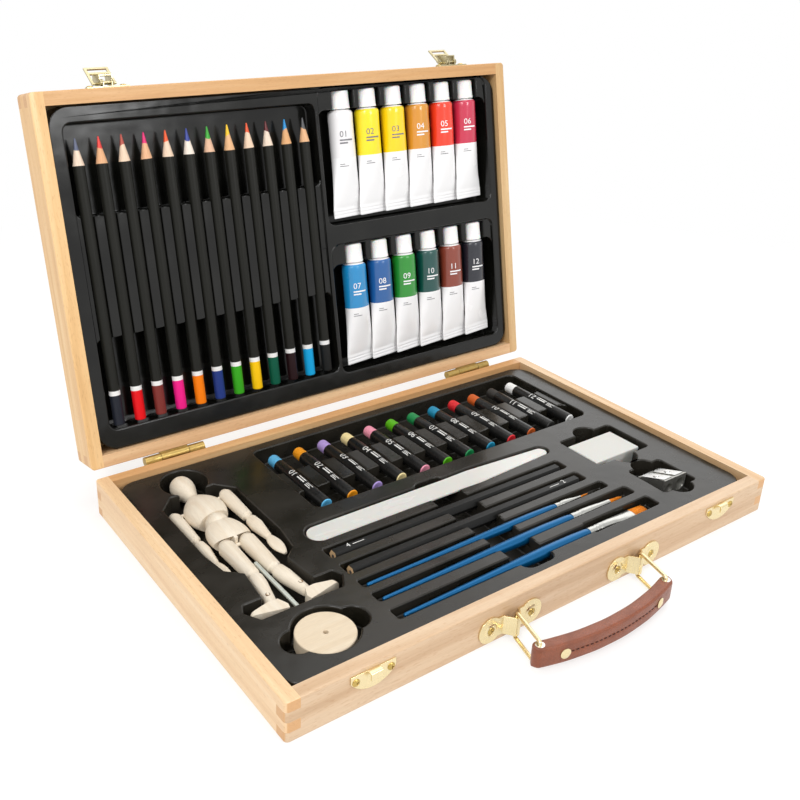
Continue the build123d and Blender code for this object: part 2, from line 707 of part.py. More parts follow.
def tube_cap():
    """The tapered screw cap of a paint tube, hollow for the neck."""
    foot = TUBE_LENGTH - CAP_LENGTH
    hollow = foot + NECK_LENGTH
    outline = [(NECK_RADIUS + HOLE_SLACK, foot), (CAP_RADIUS, foot), (CAP_TOP_RADIUS, TUBE_LENGTH - 0.8)]
    outline += [(CAP_TOP_RADIUS - 0.8, TUBE_LENGTH), (0, TUBE_LENGTH)]
    outline += [(0, hollow), (NECK_RADIUS + HOLE_SLACK, hollow)]
    return lathe(outline)


def tube_places():
    """The crimped end of every paint tube, in the lid's plan."""
    drop = TRAY_DROP + tube_depth() - TUBE_REST - TUBE_RADIUS
    for top_b in TUBE_TOP_B:
        for index in range(TUBES_IN_ROW):
            x = TUBE_FIRST_X + index * TUBE_PITCH
            yield Pos(x, lid_y(top_b - TUBE_LENGTH), -drop) * Rot(0, TUBE_ROLL, 0)


def tube_depth():
    """The depth of the tubes' wells: down to the lid's panel, less the sheet."""
    return LID_TRAY_REACH - SHEET


def lid_wells():
    """The lid tray's wells: the pencils' recess with pads between them, and two tube wells with cap slots."""
    x0 = PENCIL_FIRST_X - PENCIL_WELL_SIDES[0]
    x1 = PENCIL_LAST_X + PENCIL_WELL_SIDES[1]
    b0, b1 = PENCIL_WELL_B
    groove = 2 * (PENCIL_RADIUS + 0.3)
    groove_depth = 2 * PENCIL_RADIUS + 2 * SEAT
    pad_low, pad_high = PENCIL_PAD_B
    recess = area(x0, lid_y(b0), x1, lid_y(b1), 5)
    ends = area(x0, lid_y(b0), x1, lid_y(pad_low), 5) + area(x0, lid_y(pad_high), x1, lid_y(b1), 5)
    grooves = Sketch()
    for index in range(SET_COUNT):
        x = pencil_x(index)
        grooves += area(x - groove / 2, lid_y(pad_low - 6), x + groove / 2, lid_y(pad_high + 6), 1)
    wells = [(recess, PAD_DROP), (ends, WELL_DEEP), (grooves, groove_depth)]
    wx0, wx1 = TUBE_WELL_X
    for top_b in TUBE_TOP_B:
        low = top_b - TUBE_LENGTH - TUBE_WELL_SHORT
        high = top_b + TUBE_WELL_PAST
        neck = top_b - CAP_LENGTH
        well = area(wx0, lid_y(low), wx1, lid_y(neck), TUBE_WELL_CORNER)
        for index in range(TUBES_IN_ROW):
            x = TUBE_FIRST_X + index * TUBE_PITCH
            well += area(x - CAP_SLOT_WIDTH / 2, lid_y(neck - 8), x + CAP_SLOT_WIDTH / 2, lid_y(high), 3)
        wells.append((area(wx0, lid_y(low), wx1, lid_y(high), TUBE_WELL_CORNER), PAD_DROP))
        wells.append((well, tube_depth()))
    return wells


# Colours and tools in the base


def pastel_place(index):
    """One pastel's front end, with its length along +Y."""
    z = TRAY_TOP - SEAT - PASTEL_RADIUS
    return Pos(PASTEL_FIRST_X + index * PASTEL_PITCH, PASTEL_FRONT_Y, z)


def pastel():
    """A round pastel stick and the paper sleeve that leaves its back end bare."""
    core = PASTEL_RADIUS - SLEEVE
    bare = PASTEL_LENGTH - SLEEVE_SHORT
    bevel = 0.5
    stick = [(0, 0), (core - bevel, 0), (core, bevel), (core, PASTEL_LENGTH - bevel)]
    stick += [(core - bevel, PASTEL_LENGTH), (0, PASTEL_LENGTH)]
    sleeve = [(core, SLEEVE_FRONT), (PASTEL_RADIUS, SLEEVE_FRONT), (PASTEL_RADIUS, bare), (core, bare)]
    return lathe(stick), lathe(sleeve)


def palette_knife_outline():
    """The flat outline of the palette knife: round-ended handle, slight waist and a long blade."""
    x0, x1 = KNIFE_X
    grip_half = KNIFE_HANDLE_WIDTH / 2
    blade_half = KNIFE_BLADE_WIDTH / 2
    tip_half = KNIFE_TIP_WIDTH / 2
    start = x0 + grip_half
    end = x1 - tip_half
    upper = [(start, grip_half), (KNIFE_WAIST_X, grip_half), (KNIFE_BELLY_X, blade_half), (end, tip_half)]
    lower = [(x, -y) for x, y in reversed(upper)]
    edge = Polyline(*upper)
    edge += ThreePointArc((end, tip_half), (x1, 0), (end, -tip_half))
    edge += Polyline(*lower)
    edge += ThreePointArc((start, -grip_half), (x0, 0), (start, grip_half))
    return Pos(0, KNIFE_Y) * make_face(edge)


def graphite_place(index):
    """One graphite pencil's left end, with its length along +X."""
    z = TRAY_TOP - SEAT - GRAPHITE_ACROSS / 2
    return Pos(GRAPHITE_LEFT_X, GRAPHITE_Y[index], z)


def graphite_pencil():
    """An unsharpened six-sided pencil along +X and its graphite core."""
    section = RegularPolygon(GRAPHITE_ACROSS / 2, 6, major_radius=False) - Circle(GRAPHITE_LEAD_RADIUS)
    wood = extrude(Plane.YZ * section, GRAPHITE_LENGTH)
    core = extrude(Plane.YZ * Circle(GRAPHITE_LEAD_RADIUS), GRAPHITE_LENGTH)
    return wood, core


def brush_place(index):
    """The joint of one brush's handle and ferrule, with its head along +Y before it is laid along +X."""
    z = TRAY_TOP - SEAT - BELLY_RADIUS[index]
    return Pos(FERRULE_START_X[index], BRUSH_Y[index], z) * Rot(0, 0, -90)


def brush(index):
    """One brush: a tapering handle, a crimped ferrule and the bristles, along +Y from the ferrule's start."""
    butt = BRUSH_LEFT_X[index] - FERRULE_START_X[index]
    belly = BELLY_RADIUS[index]
    seat = FERRULE_RADIUS[index] - FERRULE_SHEET
    handle = [(0, butt), (BRUSH_BUTT_RADIUS * 0.6, butt), (BRUSH_BUTT_RADIUS, butt + 1)]
    handle += [(belly * 0.8, butt * 0.5), (belly, butt * 0.25), (belly, butt * 0.12)]
    handle += [(seat, 0), (seat, 6), (0, 6)]
    outer = ferrule_shape(index, 0)
    ferrule = outer - ferrule_shape(index, FERRULE_SHEET)
    return lathe(handle), ferrule, bristles(index)


def ferrule_shape(index, inset):
    """The ferrule from its round end to its mouth, drawn in by a wall."""
    round_end = FERRULE_RADIUS[index] - inset
    wide = FERRULE_MOUTH[index] / 2 - inset
    flat = FERRULE_FLAT[index] / 2 - inset
    length = FERRULE_LENGTH[index]
    rings = [Plane.XZ * Circle(round_end), Plane.XZ.offset(-length * 0.35) * Circle(round_end)]
    rings.append(Plane.XZ.offset(-length) * Ellipse(wide, flat))
    return loft(rings, ruled=True)


def bristles(index):
    """The tuft: straight strands that draw together towards the tip, rooted in a slice of packed hair."""
    root = FERRULE_LENGTH[index] - TUFT_ROOT
    wide = FERRULE_MOUTH[index] / 2 - FERRULE_SHEET - HOLE_SLACK
    flat = FERRULE_FLAT[index] / 2 - FERRULE_SHEET - HOLE_SLACK
    pack = extrude(Plane.XZ.offset(-root) * Ellipse(wide, flat), -TUFT_ROOT)
    pitch = STRAND_PITCH[index]
    thick = pitch * STRAND_FILL
    reach = 1 - thick / (2 * flat)
    columns = int(wide / pitch)
    rows = int(flat / pitch)
    strands = []
    for i in range(-columns, columns + 1):
        for j in range(-rows, rows + 1):
            x, z = i * pitch, j * pitch
            out = hypot(x / wide, z / flat)
            if out > reach:
                continue
            tip = root + TUFT_ROOT + BRISTLE_LENGTH[index] * (1 - TUFT_DOME[index] * out**2)
            foot_at = (x, root + TUFT_ROOT / 2, z)
            strands.append(strand(foot_at, (x * TUFT_GATHER[index], tip, z * 0.5), thick))
    print("strands", index, len(strands))
    return pack.fuse(*strands)


def strand(foot, tip, thick):
    """One four-sided hair from its foot to its tip, half as thick at the tip."""
    start = Plane(origin=foot, x_dir=(1, 0, 0), z_dir=(0, -1, 0)) * Rectangle(thick, thick)
    end = Plane(origin=tip, x_dir=(1, 0, 0), z_dir=(0, -1, 0)) * Rectangle(thick / 2, thick / 2)
    return loft([start, end], ruled=True)


def eraser():
    """A plain block eraser with eased edges."""
    long, wide, tall = ERASER_SIZE
    block = fillet(Box(long, wide, tall).edges(), ERASER_ROUND)
    return Pos(*ERASER_AT, ERASER_TOP - tall / 2) * block


def sharpener():
    """A two-hole metal sharpener: a wedge with hollowed flanks, two blades on its slope and their screws."""
    wide, deep, tall = SHARPENER_SIZE
    side = Polyline((-deep / 2, 0), (deep / 2, 0), (deep / 2, SHARPENER_BACK), (-deep / 2, tall), close=True)
    body = Pos(-wide / 2, 0, 0) * extrude(Plane.YZ * make_face(side), wide)
    for sign in (-1, 1):
        at = sign * (wide / 2 - SHARPENER_GRIP_CUT + SHARPENER_GRIP_RADIUS)
        body -= Pos(at, 0, tall / 2) * Cylinder(SHARPENER_GRIP_RADIUS, tall)
    lean = degrees(atan2(tall - SHARPENER_BACK, deep))
    slope = Pos(0, 0, (tall + SHARPENER_BACK) / 2) * Rot(-lean, 0, 0)
    blades, screws = [], []
    for x, radius in zip(SHARPENER_HOLE_X, SHARPENER_HOLE_RADIUS):
        hole = Cone(radius, radius * 0.25, deep + SEAT)
        body -= Pos(x, 0, tall - SHARPENER_HOLE_DROP) * Rot(-90, 0, 0) * hole
        blades.append(slope * Pos(x, 0, BLADE_SIZE[2] / 2) * Box(*BLADE_SIZE))
        head = Cylinder(BLADE_SCREW_RADIUS, BLADE_SCREW_HEAD)
        screws.append(slope * Pos(x, 0, BLADE_SIZE[2] + BLADE_SCREW_HEAD / 2) * head)
    place = Pos(*SHARPENER_AT, SHARPENER_TOP - tall)
    return place * body, [place * b for b in blades], [place * c for c in screws]


# The jointed figure, drawn about its own middle line and laid on its back in the tray


def laid(shape, roll=0.0):
    """Lay a shape of the figure on its back in its well, the upper body rolled a little on the waist."""
    return Pos(FIGURE_X, 0, FIGURE_Z) * Rot(0, roll, 0) * shape


def oval_loft(stations, smooth=True):
    """A body through ovals square to Y, each given as (y, half width, half thickness)."""
    rings = [Plane.XZ.offset(-y) * Ellipse(a, b) for y, a, b in stations]
    return loft(rings, ruled=not smooth)


def figure_head():
    """The egg-shaped head, its crown full and its chin drawn in to the neck."""
    chin = HEAD_TOP_Y - HEAD_LENGTH
    crown = Spline(
        (0, HEAD_TOP_Y),
        (HEAD_RADIUS, HEAD_TOP_Y - HEAD_LENGTH * 0.36),
        (NECK_RADIUS_WOOD, chin),
        tangents=((1, 0), (-0.35, -1)),
    )
    outline = crown + Line((NECK_RADIUS_WOOD, chin), (0, chin)) + Line((0, chin), (0, HEAD_TOP_Y))
    return laid(revolve(make_face(outline), Axis.Y))


def figure_torso():
    """Neck, chest, waist ball and pelvis, each its own turned piece, with the two shoulder pegs."""
    low, high = CHEST_Y
    ball = Pos(0, WAIST_Y, 0) * Sphere(WAIST_RADIUS)
    chest = oval_loft([
        (low, CHEST_HALF_WIDTH * 0.76, CHEST_HALF_THICK * 0.88),
        ((low + high) / 2, CHEST_HALF_WIDTH, CHEST_HALF_THICK),
        (high, CHEST_HALF_WIDTH * 0.5, CHEST_HALF_THICK * 0.6),
    ])
    side = ARM_X - ARM_RADIUS - ARM_GAP
    chest &= Pos(0, (low + high) / 2, 0) * Box(2 * side, high - low, 3 * CHEST_HALF_THICK)
    reach = ARM_X - ARM_RADIUS + SHOULDER_PEG_BITE
    chest += Pos(0, SHOULDER_Y, 0) * Rot(0, 90, 0) * Cylinder(SHOULDER_PEG_RADIUS, 2 * reach)
    neck_low, neck_high = high, HEAD_TOP_Y - HEAD_LENGTH
    neck = Rot(90, 0, 0) * Cylinder(NECK_RADIUS_WOOD, neck_high - neck_low)
    neck = Pos(0, (neck_low + neck_high) / 2, 0) * neck
    rolled = [laid(neck, FIGURE_ROLL), laid(chest - ball, FIGURE_ROLL)]
    return rolled + [laid(ball), laid(pelvis() - ball)]


def pelvis():
    """The pelvis, cut round for the two hip balls with a web left between them."""
    low, high = PELVIS_Y
    block = oval_loft([
        (low, PELVIS_HALF_WIDTH * 0.86, PELVIS_HALF_THICK * 0.72),
        (low + (high - low) * 0.5, PELVIS_HALF_WIDTH, PELVIS_HALF_THICK),
        (high, PELVIS_HALF_WIDTH * 0.78, PELVIS_HALF_THICK * 0.92),
    ])
    width = PELVIS_HALF_WIDTH - CROTCH / 2 + SOCKET_GAP
    for sign in (-1, 1):
        socket = Rot(0, 90, 0) * Cylinder(LEG_RADIUS + SOCKET_GAP, width)
        block -= Pos(sign * (CROTCH / 2 + width / 2), HIP_Y, 0) * socket
    pin_reach = HIP_X + LEG_RADIUS - 1
    return block + Pos(0, HIP_Y, 0) * Rot(0, 90, 0) * Cylinder(SHOULDER_PEG_RADIUS, 2 * pin_reach)


def figure_arm(sign):
    """One arm: shoulder ball, tapered upper arm and forearm with a ball at the elbow, and a mitten hand."""
    r = ARM_RADIUS
    upper = [(0, SHOULDER_Y + r), (r * 0.7, SHOULDER_Y + r * 0.7), (r, SHOULDER_Y), (r, SHOULDER_Y - 8)]
    upper += [(r * 0.8, ELBOW_Y + 2.5), (r * 0.5, ELBOW_Y + 1.6), (r * 0.5, ELBOW_Y - 1.6)]
    lower = [(r * 0.82, ELBOW_Y - 2.5), (r * 0.95, ELBOW_Y - 9), (r * 0.55, WRIST_Y + 2), (r * 0.4, WRIST_Y)]
    arm = lathe(upper + lower + [(0, WRIST_Y)])
    arm += oval_loft([
        (HAND_TIP_Y, 0.9, 0.7),
        (WRIST_Y - 9, r * 0.85, r * 0.42),
        (WRIST_Y + 1, r * 0.42, r * 0.38),
    ])
    reach = SHOULDER_PEG_BITE + SEAT
    peg_hole = Rot(0, 90, 0) * Cylinder(SHOULDER_PEG_RADIUS + RUNNING, 2 * reach)
    arm -= Pos(-r, SHOULDER_Y, 0) * peg_hole
    arm = Pos(ARM_X, 0, 0) * arm
    return laid(arm if sign > 0 else mirror(arm, Plane.YZ), FIGURE_ROLL)


def figure_leg(sign):
    """One leg: hip ball, thigh, knee, splayed shin and a foot that points outwards."""
    r = LEG_RADIUS
    thigh = [(0, HIP_Y + r), (r * 0.7, HIP_Y + r * 0.7), (r, HIP_Y), (r * 0.98, HIP_Y - 6)]
    thigh += [(r * 0.8, KNEE_Y + 2), (r * 0.62, KNEE_Y + 1), (r * 0.62, KNEE_Y - 1), (0, KNEE_Y - 1)]
    leg = Pos(HIP_X, 0, 0) * lathe(thigh)
    splay = degrees(atan2(ANKLE_X - HIP_X, KNEE_Y - ANKLE_Y))
    long = hypot(ANKLE_X - HIP_X, KNEE_Y - ANKLE_Y)
    shin = [(0, 1), (r * 0.62, 1), (r * 0.62, -1), (r * 0.82, -2.2), (r * 0.86, -8), (r * 0.62, -long + 1)]
    shin += [(r * 0.5, -long - 1), (0, -long - 1)]
    leg += Pos(HIP_X, KNEE_Y, 0) * Rot(0, 0, splay) * lathe(shin)
    leg += Pos(ANKLE_X, ANKLE_Y, 0) * (Sphere(r * 0.6) + Rot(0, 0, FOOT_TURN) * foot())
    leg -= Pos(HIP_X, HIP_Y, 0) * Rot(0, 90, 0) * Cylinder(SHOULDER_PEG_RADIUS + RUNNING, 3 * r)
    return laid(leg if sign > 0 else mirror(leg, Plane.YZ))


def foot():
    """A wooden foot below its ankle, toe along +X, the sole facing -Y."""
    sole = -FOOT_HEIGHT
    outline = Polyline(
        (-FOOT_HEEL, sole),
        (FOOT_TOE, sole),
        (FOOT_TOE, sole + 2.2),
        (FOOT_HEEL * 0.5, sole * 0.3),
        (-FOOT_HEEL * 0.4, sole * 0.2),
        (-FOOT_HEEL, sole * 0.7),
        close=True,
    )
    block = Pos(0, 0, -FOOT_WIDTH / 2) * extrude(make_face(outline), FOOT_WIDTH)
    tips = block.edges().filter_by(Axis.Y).group_by(Axis.X)
    return fillet(tips[-1], FOOT_WIDTH * 0.3)


def figure_well():
    """The outline of the figure's well, a plain silhouette with room at the sides."""
    slack = FIGURE_SLACK
    arm_edge = ARM_X + ARM_RADIUS + slack
    leg_edge = ANKLE_X + slack
    toe = ANKLE_X + FOOT_TOE + slack
    half = [
        (arm_edge * 0.6, CHEST_Y[1] + slack),
        (arm_edge, SHOULDER_Y),
        (arm_edge, WRIST_Y),
        (arm_edge - slack, HAND_TIP_Y),
        (leg_edge, HAND_TIP_Y - 3 * slack),
        (leg_edge + slack, ANKLE_Y),
        (toe, ANKLE_Y),
        (toe + slack, ANKLE_Y - FOOT_HEIGHT * 0.5),
        (toe - slack, ANKLE_Y - FOOT_HEIGHT - slack * 1.3),
    ]
    other = [(-x, y) for x, y in reversed(half)]
    outline = make_face(Polyline(*half, *other, close=True))
    outline = fillet(outline.vertices(), slack / 2)
    outline += Pos(0, HEAD_TOP_Y - HEAD_LENGTH / 2) * Circle(HEAD_WELL_RADIUS)
    return Pos(FIGURE_X, 0) * outline


def stand():
    """The figure's round stand, with the hole for its rod."""
    disc = Cylinder(STAND_RADIUS, STAND_THICK)
    disc = fillet(disc.edges().group_by(Axis.Z)[-1], EDGE_EASE) - Cylinder(STAND_HOLE_RADIUS, STAND_THICK)
    return Pos(*STAND_AT, STAND_TOP - STAND_THICK / 2) * disc


def rod():
    """The stand's metal rod, lying on the floor of the well between the legs."""
    y0, y1 = ROD_Y
    z = TRAY_TOP - FIGURE_DEPTH + SEAT + ROD_RADIUS
    return Pos(FIGURE_X, (y0 + y1) / 2, z) * Rot(90, 0, 0) * Cylinder(ROD_RADIUS, y1 - y0)


# The base tray's wells


def block_well(at, size, sides):
    """A plain well round a block, with its own room at the sides along X and Y."""
    return Pos(*at) * RectangleRounded(size[0] + 2 * sides[0], size[1] + 2 * sides[1], 2.0)


def base_wells():
    """Every well of the base tray as (outline, depth)."""
    wells = pastel_wells()
    wells.append((offset(palette_knife_outline(), WELL_SLACK), KNIFE_DROP + KNIFE_SHEET + SEAT))
    wells.append((area(*CHANNEL[:2], *CHANNEL[2:], 6.0), CHANNEL_DEPTH))
    across = GRAPHITE_ACROSS / 2 / cos(pi / 6) + TOOL_SLACK
    for index, y in enumerate(GRAPHITE_Y):
        groove = area(GROOVE_LEFT_X, y - across, GROOVE_RIGHT_X[index], y + across, 1.5)
        wells.append((groove, GRAPHITE_ACROSS + 2 * SEAT))
    for index, y in enumerate(BRUSH_Y):
        across = BELLY_RADIUS[index] + TOOL_SLACK
        right = GROOVE_RIGHT_X[index + len(GRAPHITE_Y)]
        groove = area(GROOVE_LEFT_X, y - across, right, y + across, 1.5)
        wide = max(across, FERRULE_MOUTH[index] / 2 + TOOL_SLACK)
        groove += area(FERRULE_START_X[index], y - wide, right, y + wide, 1.5)
        wells.append((groove, 2 * BELLY_RADIUS[index] + 2 * SEAT))
    eraser_depth = TRAY_TOP - ERASER_TOP + ERASER_SIZE[2] + SEAT
    wells.append((block_well(ERASER_AT, ERASER_SIZE, ERASER_WELL_SIDES), eraser_depth))
    for dx, dy in ERASER_SCOOPS:
        at = Pos(ERASER_AT[0] + dx, ERASER_AT[1] + dy)
        wells.append((at * Circle(ERASER_SCOOP_RADIUS), eraser_depth))
    sides = (SHARPENER_WELL_SIDE, SHARPENER_WELL_SIDE)
    sharpener_depth = TRAY_TOP - SHARPENER_TOP + SHARPENER_SIZE[2] + SEAT
    wells.append((block_well(SHARPENER_AT, SHARPENER_SIZE, sides), sharpener_depth))
    for dx, dy in SHARPENER_SCOOPS:
        at = Pos(SHARPENER_AT[0] + dx, SHARPENER_AT[1] + dy)
        wells.append((at * Circle(SHARPENER_SCOOP_RADIUS), SCOOP_DEPTH))
    wells.append((figure_well(), FIGURE_DEPTH))
    stand_depth = TRAY_TOP - STAND_TOP + STAND_THICK + SEAT
    wells.append((Pos(*STAND_AT) * Circle(STAND_RADIUS + STAND_WELL_SIDE), stand_depth))
    for sign in (-1, 1):
        scoop = Pos(STAND_AT[0] + sign * STAND_SCOOP_X, STAND_AT[1]) * Circle(STAND_SCOOP_RADIUS)
        wells.append((scoop, SCOOP_DEPTH))
    return wells


def pastel_wells():
    """The pastels' recess: deep ends, low pads across the middle and a groove for each stick."""
    x0, y0, x1, y1 = PASTEL_WELL
    low, high = PASTEL_PAD_Y
    across = PASTEL_RADIUS + TOOL_SLACK / 2
    grooves = Sketch()
    for index in range(SET_COUNT):
        x = PASTEL_FIRST_X + index * PASTEL_PITCH
        grooves += area(x - across, low - 6, x + across, high + 6, 1)
    ends = area(x0, y0, x1, low, 5) + area(x0, high, x1, y1, 5)
    groove_depth = 2 * PASTEL_RADIUS + 2 * SEAT
    return [(area(x0, y0, x1, y1, 5), PAD_DROP), (ends, PASTEL_WELL_DEEP), (grooves, groove_depth)]


# Filing the pieces


def screw_holes(wall, places):
    """Cut the pilot holes of a list of screw places into a wall."""
    for place in places:
        wall -= place * screw_hole()
    return wall


def pair(x, spread, z, facing, out):
    """The places of two screws either side of x."""
    return [facing(x - spread, z, out), facing(x + spread, z, out)]


def file_case():
    """File the two halves' walls, panels and trays."""
    base, lid = walls(BASE_HEIGHT), walls(LID_HEIGHT)
    for side in SIDES.values():
        x = side * LATCH_X
        base["front"] = screw_holes(base["front"], pair(x, MOON_SCREW_X, moon_screw_z(-1), facing_front, 0))
        x = HANDLE_X + side * BRACKET_SPACING / 2
        base["front"] = screw_holes(base["front"], pair(x, BRACKET_LOBE_X, HANDLE_Z, facing_front, 0))
        hinge_at = side * HINGE_X
        low = PIN_Z - HINGE_SCREW_DROP
        base["back"] = screw_holes(base["back"], pair(hinge_at, HINGE_SCREW_X, low, facing_back, 0))
    for name, wall in base.items():
        keep(f"base_{name}_wall", wall)
    keep("base_panel", panel())
    keep("base_tray", Pos(0, 0, TRAY_TOP) * formed_tray(base_wells(), TRAY_REACH))
    turn = Pos(0, 0, SEAM_Z + SEAM_GAP + LID_HEIGHT) * Rot(180, 0, 0)
    front, back = turn * lid["back"], turn * lid["front"]
    for side in SIDES.values():
        front = screw_holes(front, pair(side * LATCH_X, MOON_SCREW_X, moon_screw_z(1), facing_front, 0))
        high = PIN_Z + HINGE_SCREW_DROP
        back = screw_holes(back, pair(side * HINGE_X, HINGE_SCREW_X, high, facing_back, 0))
    keep("lid_front_wall", opened(front))
    keep("lid_back_wall", opened(back))
    keep("lid_left_wall", opened(turn * lid["left"]))
    keep("lid_right_wall", opened(turn * lid["right"]))
    keep("lid_panel", opened(turn * panel()))
    keep("lid_tray", in_lid(Pos(0, 0, -TRAY_DROP) * formed_tray(lid_wells(), LID_TRAY_REACH)))


def file_hardware():
    """File the hinges, latches and catches."""
    for name, side in SIDES.items():
        base_leaf, lid_leaf, pin = hinge(name)
        keep(f"hinge_base_leaf_{name}", base_leaf)
        keep(f"hinge_lid_leaf_{name}", lid_leaf)
        keep("hinge_pins", pin)
        at = side * HINGE_X
        for place in pair(at, HINGE_SCREW_X, PIN_Z - HINGE_SCREW_DROP, facing_back, LEAF):
            keep("base_screws", place * screw())
        for place in pair(at, HINGE_SCREW_X, PIN_Z + HINGE_SCREW_DROP, facing_back, LEAF):
            keep("lid_screws", opened(place * screw()))
        x = side * LATCH_X
        keep(f"catch_plate_{name}", catch(x))
        for place in pair(x, MOON_SCREW_X, moon_screw_z(-1), facing_front, LATCH_SHEET):
            keep("base_screws", place * screw())
        keep(f"latch_plate_{name}", opened(latch_plate(x)))
        for place in pair(x, MOON_SCREW_X, moon_screw_z(1), facing_front, LATCH_SHEET):
            keep("lid_screws", opened(place * screw()))
        half = LEVER_WIDTH / 2
        pivot = Pos(*LEVER_PIVOT) * Circle(LATCH_PIN_RADIUS)
        keep("latch_pivots", opened(front_profile(pivot, x - half, x + half)))
        keep(f"latch_lever_{name}", opened(latch_lever(x)))
        keep(f"latch_loop_{name}", opened(latch_loop(x)))


def file_handle():
    """File the handle's brackets, rings and grip."""
    for name, side in SIDES.items():
        x = HANDLE_X + side * BRACKET_SPACING / 2
        keep(f"handle_bracket_{name}", bracket(x))
        keep(f"handle_ring_{name}", ring(x))
        for place in pair(x, BRACKET_LOBE_X, HANDLE_Z, facing_front, BRACKET_SHEET):
            keep("base_screws", place * screw())
    band, tubes, rivets = grip()
    keep("handle_grip", band)
    keep("grip_tubes", *tubes)
    keep("grip_rivets", *rivets)


def file_colours():
    """File the pencils, paint tubes and pastels."""
    wood, lead = pencil()
    stick, sleeve = pastel()
    for index in range(SET_COUNT):
        keep("coloured_pencils", in_lid(pencil_place(index) * wood))
        keep("pencil_leads", in_lid(pencil_place(index) * lead))
        keep("pastel_sticks", pastel_place(index) * stick)
        keep("pastel_sleeves", pastel_place(index) * sleeve)
    tube, cap = paint_tube(), tube_cap()
    for place in tube_places():
        keep("paint_tubes", in_lid(place * tube))
        keep("tube_caps", in_lid(place * cap))


def file_tools():
    """File the palette knife, graphite pencils, brushes, eraser and sharpener."""
    top = TRAY_TOP - KNIFE_DROP
    keep("palette_knife", Pos(0, 0, top - KNIFE_SHEET) * extrude(palette_knife_outline(), KNIFE_SHEET))
    wood, core = graphite_pencil()
    for index in range(len(GRAPHITE_Y)):
        keep("graphite_pencils", graphite_place(index) * wood)
        keep("graphite_cores", graphite_place(index) * core)
    for index in range(len(BRUSH_Y)):
        handle, ferrule, tuft = brush(index)
        keep("brush_handles", brush_place(index) * handle)
        keep("brush_ferrules", brush_place(index) * ferrule)
        keep("brush_bristles", brush_place(index) * tuft)
    keep("eraser", eraser())
    body, blades, screws = sharpener()
    keep("sharpener_body", body)
    keep("sharpener_blades", *blades)
    keep("sharpener_screws", *screws)


def file_figure():
    """File the jointed figure, its stand and its rod."""
    keep("figure_head", figure_head())
    keep("figure_torso", *figure_torso())
    for name, side in SIDES.items():
        keep(f"figure_arm_{name}", figure_arm(side))
        keep(f"figure_leg_{name}", figure_leg(side))
    keep("figure_stand", stand())
    keep("figure_rod", rod())


def main():
    """Build every sub-part and write it to its own file."""
    os.makedirs("parts", exist_ok=True)
    for file_group in (file_case, file_hardware, file_handle, file_colours, file_tools, file_figure):
        file_group()
    for name, solids in NODES.items():
        shape = solids[0] if len(solids) == 1 else Compound(children=solids)
        export_step(shape, f"parts/{name}.step")
    print(len(NODES), "sub-parts,", sum(len(v) for v in NODES.values()), "solids")
    print("loop turn", round(loop_hook_turn(), 2), "loop lean", round(loop_lean(), 2))


if __name__ == "__main__":
    main()
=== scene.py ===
"""Looks of a wooden art set box that stands open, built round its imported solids.

The case is beech with black formed trays. The lid holds coloured pencils and paint tubes, the base
holds pastels, a palette knife, graphite pencils, brushes, an eraser, a sharpener and a wooden figure.
Shapes are worked out in millimetres in the shared frame and turned to metres as each mesh is made.
"""

import logging
import math
import random
from dataclasses import dataclass, field
from enum import Enum
from typing import Any, Iterable, Iterator, Sequence, Union

import bmesh
import bpy
from mathutils import Euler, Matrix, Vector, noise
from mathutils.bvhtree import BVHTree


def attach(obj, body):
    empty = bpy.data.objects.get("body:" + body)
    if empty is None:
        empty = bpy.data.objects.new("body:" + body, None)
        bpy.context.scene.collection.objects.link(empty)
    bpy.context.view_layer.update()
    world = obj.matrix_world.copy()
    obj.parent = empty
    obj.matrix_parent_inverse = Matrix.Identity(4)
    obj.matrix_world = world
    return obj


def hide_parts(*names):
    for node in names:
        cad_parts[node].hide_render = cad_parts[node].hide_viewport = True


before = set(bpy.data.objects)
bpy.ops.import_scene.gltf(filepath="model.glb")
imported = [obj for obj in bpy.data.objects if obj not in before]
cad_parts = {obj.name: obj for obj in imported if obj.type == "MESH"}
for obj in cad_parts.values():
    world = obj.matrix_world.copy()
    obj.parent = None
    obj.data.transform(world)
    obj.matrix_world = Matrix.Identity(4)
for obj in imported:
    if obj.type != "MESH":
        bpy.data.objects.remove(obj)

LOG = logging.getLogger("art_set_box")
MM = 0.001
QUARTER = math.pi / 2
SIDES = ("left", "right")
WAYS = (-1, 1)
Colour = tuple[float, float, float, float]
Pair = tuple[float, float]
Triple = tuple[float, float, float]
Outline = Sequence[Pair]
Flat = tuple[list[Vector], list[tuple[int, ...]]]
Source = Union[bpy.types.Node, bpy.types.NodeSocket, float, Colour]

# Where the lid's own plan lies when the box stands open

CASE_DEPTH = 224.5
SEAM_Z = 23.5
SEAM_GAP = 0.1
HINGE_PIN = Vector((0.0, 115.65, 23.55))
LID_ANGLE = math.radians(-101.5)


def at(x: float, y: float, z: float) -> Matrix:
    """A plain move in millimetres."""
    return Matrix.Translation((x, y, z))


def turned(angle: float, axis: str) -> Matrix:
    """A turn in radians about one axis of the frame."""
    return Matrix.Rotation(angle, 4, axis)


def opened() -> Matrix:
    """The turn that swings a closed-lid shape up to rest about the hinge pins."""
    return at(*HINGE_PIN) @ turned(LID_ANGLE, "X") @ at(*-HINGE_PIN)


def lid_plan() -> Matrix:
    """The place of the lid's plan: rim at height 0, Y from the middle to the free edge, facing up."""
    return opened() @ at(0, 0, SEAM_Z + SEAM_GAP) @ turned(math.pi, "X")


